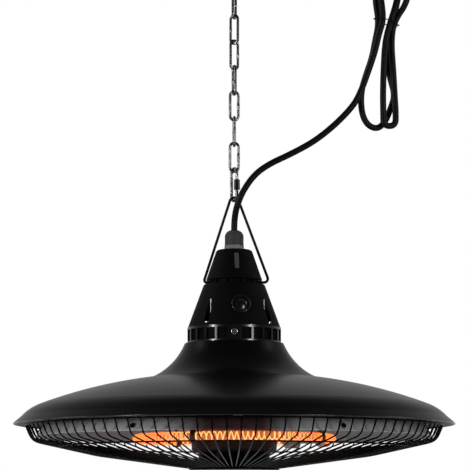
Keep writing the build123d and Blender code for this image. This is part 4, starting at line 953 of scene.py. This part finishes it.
@dataclass
class MainsCord:
    """Rubber mains cord: four free lengths and the tied hank, on one smooth line."""

    diameter: float = 0.008
    radius: float = 4.15
    inner_radius: float = 4.0
    inner_route: tuple[Point, ...] = (
        (0.0, 0.0, 253.6),
        (0.0, 0.0, 192.0),
        (0.0, 22.0, 166.0),
        (0.0, 22.0, 147.6),
    )
    free_route: tuple[Point, ...] = (
        (0.0, 0.0, 253.6),
        (0.0, 0.0, 265.0),
        (2.0, -6.5, 279.0),
        (5.5, -12.5, 290.0),
        (12.5, -13.0, 306.0),
        (27.2, -12.0, 326.8),
        (46.8, -11.0, 340.8),
        (74.4, -10.0, 353.6),
        (105.9, -10.0, 370.9),
        (133.6, -10.0, 393.5),
        (157.4, -10.0, 418.8),
        (167.4, -10.0, 438.9),
        (178.1, -10.0, 468.3),
        (186.1, -10.0, 492.5),
        (190.8, -10.0, 514.0),
    )
    hank_route: tuple[Point, ...] = (
        (196.9, -10.0, 532.2),
        (195.1, -9.8, 555.2),
        (190.4, -9.4, 587.8),
        (187.9, -9.0, 629.4),
        (187.6, -9.0, 675.0),
        (226.1, -9.0, 675.0),
        (228.0, -8.5, 627.5),
        (231.1, -7.5, 591.3),
        (230.4, -6.0, 559.5),
        (211.5, 0.0, 533.2),
        (207.6, 0.0, 505.2),
        (210.2, 0.5, 466.1),
        (211.6, 0.0, 434.2),
        (212.8, -0.5, 411.3),
        (212.4, -1.5, 392.4),
        (196.1, -4.5, 391.8),
        (196.1, -5.0, 410.4),
        (195.8, -5.6, 432.0),
        (196.8, -5.8, 464.8),
        (199.2, -6.0, 503.9),
        (205.3, -7.8, 527.4),
        (215.7, -7.0, 559.3),
        (221.0, -1.0, 596.1),
        (225.3, 0.0, 631.8),
        (226.3, 0.0, 675.0),
        (187.6, 0.0, 675.0),
        (186.6, 0.0, 631.8),
        (186.9, -0.3, 593.1),
        (187.3, -0.6, 559.9),
        (191.7, -1.0, 531.6),
        (186.1, -1.0, 505.0),
        (182.1, -1.0, 484.0),
        (174.4, -1.0, 462.2),
        (168.0, -0.5, 441.3),
        (167.0, 0.5, 421.9),
        (169.7, 2.0, 404.8),
        (177.5, 4.5, 393.1),
        (189.7, 7.5, 390.0),
        (199.8, 9.5, 400.1),
        (206.9, 10.5, 417.7),
        (212.8, 10.5, 436.2),
        (205.8, 10.0, 460.9),
        (202.4, 9.5, 485.5),
        (204.8, 9.5, 511.4),
        (209.8, 9.6, 535.3),
        (217.5, 9.8, 562.0),
        (223.1, 9.8, 598.1),
        (224.1, 9.8, 636.6),
        (221.4, 9.5, 675.0),
        (201.5, 11.0, 676.0),
        (181.0, 27.5, 672.0),
        (180.5, 28.0, 650.0),
    )
    cuts: tuple[Point, ...] = (
        (9.00, -12.75, 298.00),
        (60.60, -10.50, 347.20),
        (119.75, -10.00, 382.20),
        (193.85, -10.00, 523.10),
    )
    pairs: tuple[tuple[str, str], ...] = (
        ("heater", "bail"),
        ("bail", "chain"),
        ("chain", "top_link"),
        ("top_link", "ceiling"),
    )
    sides: int = 24
    search_span: int = 200

    def place(self, spot: Point) -> Vector:
        """Turn a route point into metres in the shared frame."""
        return Vector((spot[0] * MM, spot[1] * MM, RIM_Z + spot[2] * MM))

    def build(self, finishes: FinishBox) -> None:
        """Build the free lengths, the hank and the length in the housing, and dress the tie."""
        rubber = finishes.take(CORD_BLACK)
        line = nurbs_points("cord_route", [self.place(spot) for spot in self.free_route + self.hank_route])
        marks = [0]
        for cut in self.cuts:
            spot = self.place(cut)
            reach = range(marks[-1], min(len(line), marks[-1] + self.search_span))
            marks.append(min(reach, key=lambda number: (line[number] - spot).length))
        for number, (start, end) in enumerate(zip(marks, marks[1:])):
            points = line[start : end + 1]
            piece = tube(f"cord_free_{number + 1}", points, self.radius * MM, rubber, self.sides)
            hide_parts(f"cord_run_{number + 1}")
            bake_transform(piece)
            report(piece)
        points = line[marks[-1] :]
        hank = tube("cord_hank_turns", points, self.radius * MM, rubber, self.sides)
        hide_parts("cord_hank")
        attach(hank, "ceiling")
        report(hank)
        dress("cord_tie", finishes.take(TIE))
        line = nurbs_points("inner_route", [self.place(spot) for spot in self.inner_route])
        inner = tube("cord_inner_run", line, self.inner_radius * MM, rubber, self.sides)
        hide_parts("cord_inner")
        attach(inner, "heater")
        report(inner)


@dataclass(frozen=True)
class Lamp:
    """One soft area lamp: where it stands, what it faces, its size in metres and its watts."""

    name: str
    place: Point
    target: Point
    size: tuple[float, float]
    power: float

    def add(self) -> None:
        """Put the lamp into the scene."""
        lamp = bpy.data.lights.new(self.name, "AREA")
        lamp.shape = "RECTANGLE"
        lamp.size, lamp.size_y = self.size
        lamp.energy = self.power
        holder = bpy.data.objects.new(self.name, lamp)
        holder.location = self.place
        view = Vector(self.target) - Vector(self.place)
        holder.rotation_euler = view.to_track_quat("-Z", "Y").to_euler()
        bpy.context.scene.collection.objects.link(holder)


@dataclass
class Studio:
    """Camera, pale floor and backdrop, and the soft lamps.

    Lengths are in metres, apart from the scale in millimetres per pixel and the view's centre height in
    millimetres above the rim. The levels are the strengths of the world and of the mirrored backdrop.
    """

    distance: float = 2.82
    eye_drop: float = 0.12
    centre_height: float = 247.9
    scale: float = 1.308
    axis_pixel: float = 234.2
    frame_pixels: int = 470
    sensor: float = 36.0
    far_clip: float = 50.0
    front_level: float = 0.03
    back_level: float = 0.25
    level_span: tuple[float, float] = (-0.35, 0.25)
    mirrored_level: float = 0.5
    mirrored_span: tuple[float, float] = (0.3, 1.6)
    floor_colour: Colour = (0.8, 0.8, 0.8)
    floor_roughness: float = 0.9
    floor_z: float = -1.6
    front_y: float = -5.0
    back_y: float = 2.6
    top_z: float = 3.2
    half_width: float = 6.0
    sweep: float = 1.0
    sweep_steps: int = 12
    lamps: tuple[Lamp, ...] = (
        Lamp("left_box", (-2.2, 0.3, 0.7), (0, 0, -0.65), (0.8, 1.4), 13.0),
        Lamp("right_box", (2.2, 0.3, 0.7), (0, 0, -0.65), (0.8, 1.4), 13.0),
        Lamp("left_strip", (-1.9, -1.5, -0.35), (0, 0, -0.74), (0.25, 0.9), 28.0),
        Lamp("right_strip", (1.6, -1.9, -0.35), (0, 0, -0.74), (0.25, 0.9), 22.0),
        Lamp("low_front", (0.0, -2.2, -1.45), (0, 0, -0.74), (1.8, 0.4), 1.2),
    )

    def build(self) -> None:
        """Set up the camera, stage, world and lamps."""
        self.camera()
        self.stage()
        self.world()
        for lamp in self.lamps:
            lamp.add()

    def camera(self) -> None:
        """Place the camera at the photograph's viewing angle."""
        lens = bpy.data.cameras.new("camera")
        camera = bpy.data.objects.new("camera", lens)
        bpy.context.scene.collection.objects.link(camera)
        bpy.context.scene.camera = camera
        across = (self.frame_pixels / 2 - self.axis_pixel) * self.scale * MM
        target = Vector((across, 0, RIM_Z + self.centre_height * MM))
        camera.location = (target.x, -self.distance, RIM_Z - self.eye_drop)
        view = target - camera.location
        camera.rotation_euler = view.to_track_quat("-Z", "Y").to_euler()
        lens.sensor_width = self.sensor
        lens.lens = self.sensor * view.length / (self.frame_pixels * self.scale * MM)
        lens.clip_end = self.far_clip

    def stage_sheet(self) -> bpy.types.Material:
        """Build the stage's material, white to the camera and in glass, and clear from behind."""
        sheet = NodeSheet("studio_white")
        sheet.set("Base Color", (*self.floor_colour, 1))
        sheet.set("Roughness", self.floor_roughness)
        path = sheet.tree.nodes.new("ShaderNodeLightPath")
        glow = sheet.tree.nodes.new("ShaderNodeEmission")
        glow.inputs["Color"].default_value = (1, 1, 1, 1)
        behind = sheet.remap(sheet.axes()["Y"], *self.mirrored_span, 0.0, self.mirrored_level)
        mirrored = sheet.math("MULTIPLY", path.outputs["Is Glossy Ray"], behind)
        seen = sheet.math("MAXIMUM", path.outputs["Is Camera Ray"], mirrored)
        seen = sheet.math("MAXIMUM", seen, path.outputs["Is Transmission Ray"])
        mix = sheet.tree.nodes.new("ShaderNodeMixShader")
        sheet.link(seen, mix.inputs["Fac"])
        sheet.link(sheet.shader.outputs["BSDF"], mix.inputs[1])
        sheet.link(glow.outputs["Emission"], mix.inputs[2])
        facing = sheet.tree.nodes.new("ShaderNodeNewGeometry")
        clear = sheet.tree.nodes.new("ShaderNodeBsdfTransparent")
        sided = sheet.tree.nodes.new("ShaderNodeMixShader")
        sheet.link(facing.outputs["Backfacing"], sided.inputs["Fac"])
        sheet.link(mix.outputs["Shader"], sided.inputs[1])
        sheet.link(clear.outputs["BSDF"], sided.inputs[2])
        sheet.link(sided.outputs["Shader"], sheet.output.inputs["Surface"])
        return sheet.material

    def stage(self) -> None:
        """Make the floor and the curved backdrop as one sheet that faces the object."""
        mesh = bpy.data.meshes.new("backdrop")
        shape = bmesh.new()
        turn_y, turn_z = self.back_y - self.sweep, self.floor_z + self.sweep
        line = [(self.front_y, self.floor_z), (turn_y, self.floor_z)]
        line += [
            (turn_y + self.sweep * math.sin(turn), turn_z - self.sweep * math.cos(turn))
            for turn in (math.pi / 2 * step / self.sweep_steps for step in range(1, self.sweep_steps))
        ]
        line += [(self.back_y, turn_z), (self.back_y, self.top_z)]
        rows = [
            [shape.verts.new((x, y, z)) for x in (-self.half_width, self.half_width)]
            for y, z in line
        ]
        for first, second in zip(rows, rows[1:]):
            shape.faces.new((first[0], first[1], second[1], second[0])).smooth = True
        shape.to_mesh(mesh)
        shape.free()
        backdrop = link_object("backdrop", mesh, self.stage_sheet())

    def world(self) -> None:
        """Light the world dimly in front and more behind, and show it white to the camera."""
        world = bpy.data.worlds.new("studio")
        bpy.context.scene.world = world
        world.use_nodes = True
        tree = world.node_tree
        background = tree.nodes["Background"]
        background.inputs["Color"].default_value = (1, 1, 1, 1)
        direction = tree.nodes.new("ShaderNodeTexCoord")
        split = tree.nodes.new("ShaderNodeSeparateXYZ")
        tree.links.new(direction.outputs["Generated"], split.inputs["Vector"])
        level = tree.nodes.new("ShaderNodeMapRange")
        level.inputs["From Min"].default_value = self.level_span[0]
        level.inputs["From Max"].default_value = self.level_span[1]
        level.inputs["To Min"].default_value = self.front_level
        level.inputs["To Max"].default_value = self.back_level
        tree.links.new(split.outputs["Y"], level.inputs["Value"])
        path = tree.nodes.new("ShaderNodeLightPath")
        seen = tree.nodes.new("ShaderNodeMath")
        seen.operation = "MAXIMUM"
        tree.links.new(level.outputs["Result"], seen.inputs[0])
        tree.links.new(path.outputs["Is Camera Ray"], seen.inputs[1])
        tree.links.new(seen.outputs["Value"], background.inputs["Strength"])


def main() -> None:
    """Build every sub-assembly in order."""
    logging.basicConfig(level=logging.INFO, format="%(name)s: %(message)s")
    bpy.context.scene.view_settings.view_transform = "Standard"
    finishes = FinishBox()
    Studio().build()
    for assembly in (MainsCord(), Hanging(), Housing(), Shade(), HeaterCore(), SkirtScrews(), WireGuard()):
        assembly.build(finishes)
        log.info("finished %s", type(assembly).__name__)
    bpy.context.view_layer.update()


if __name__ == "__main__":
    main()
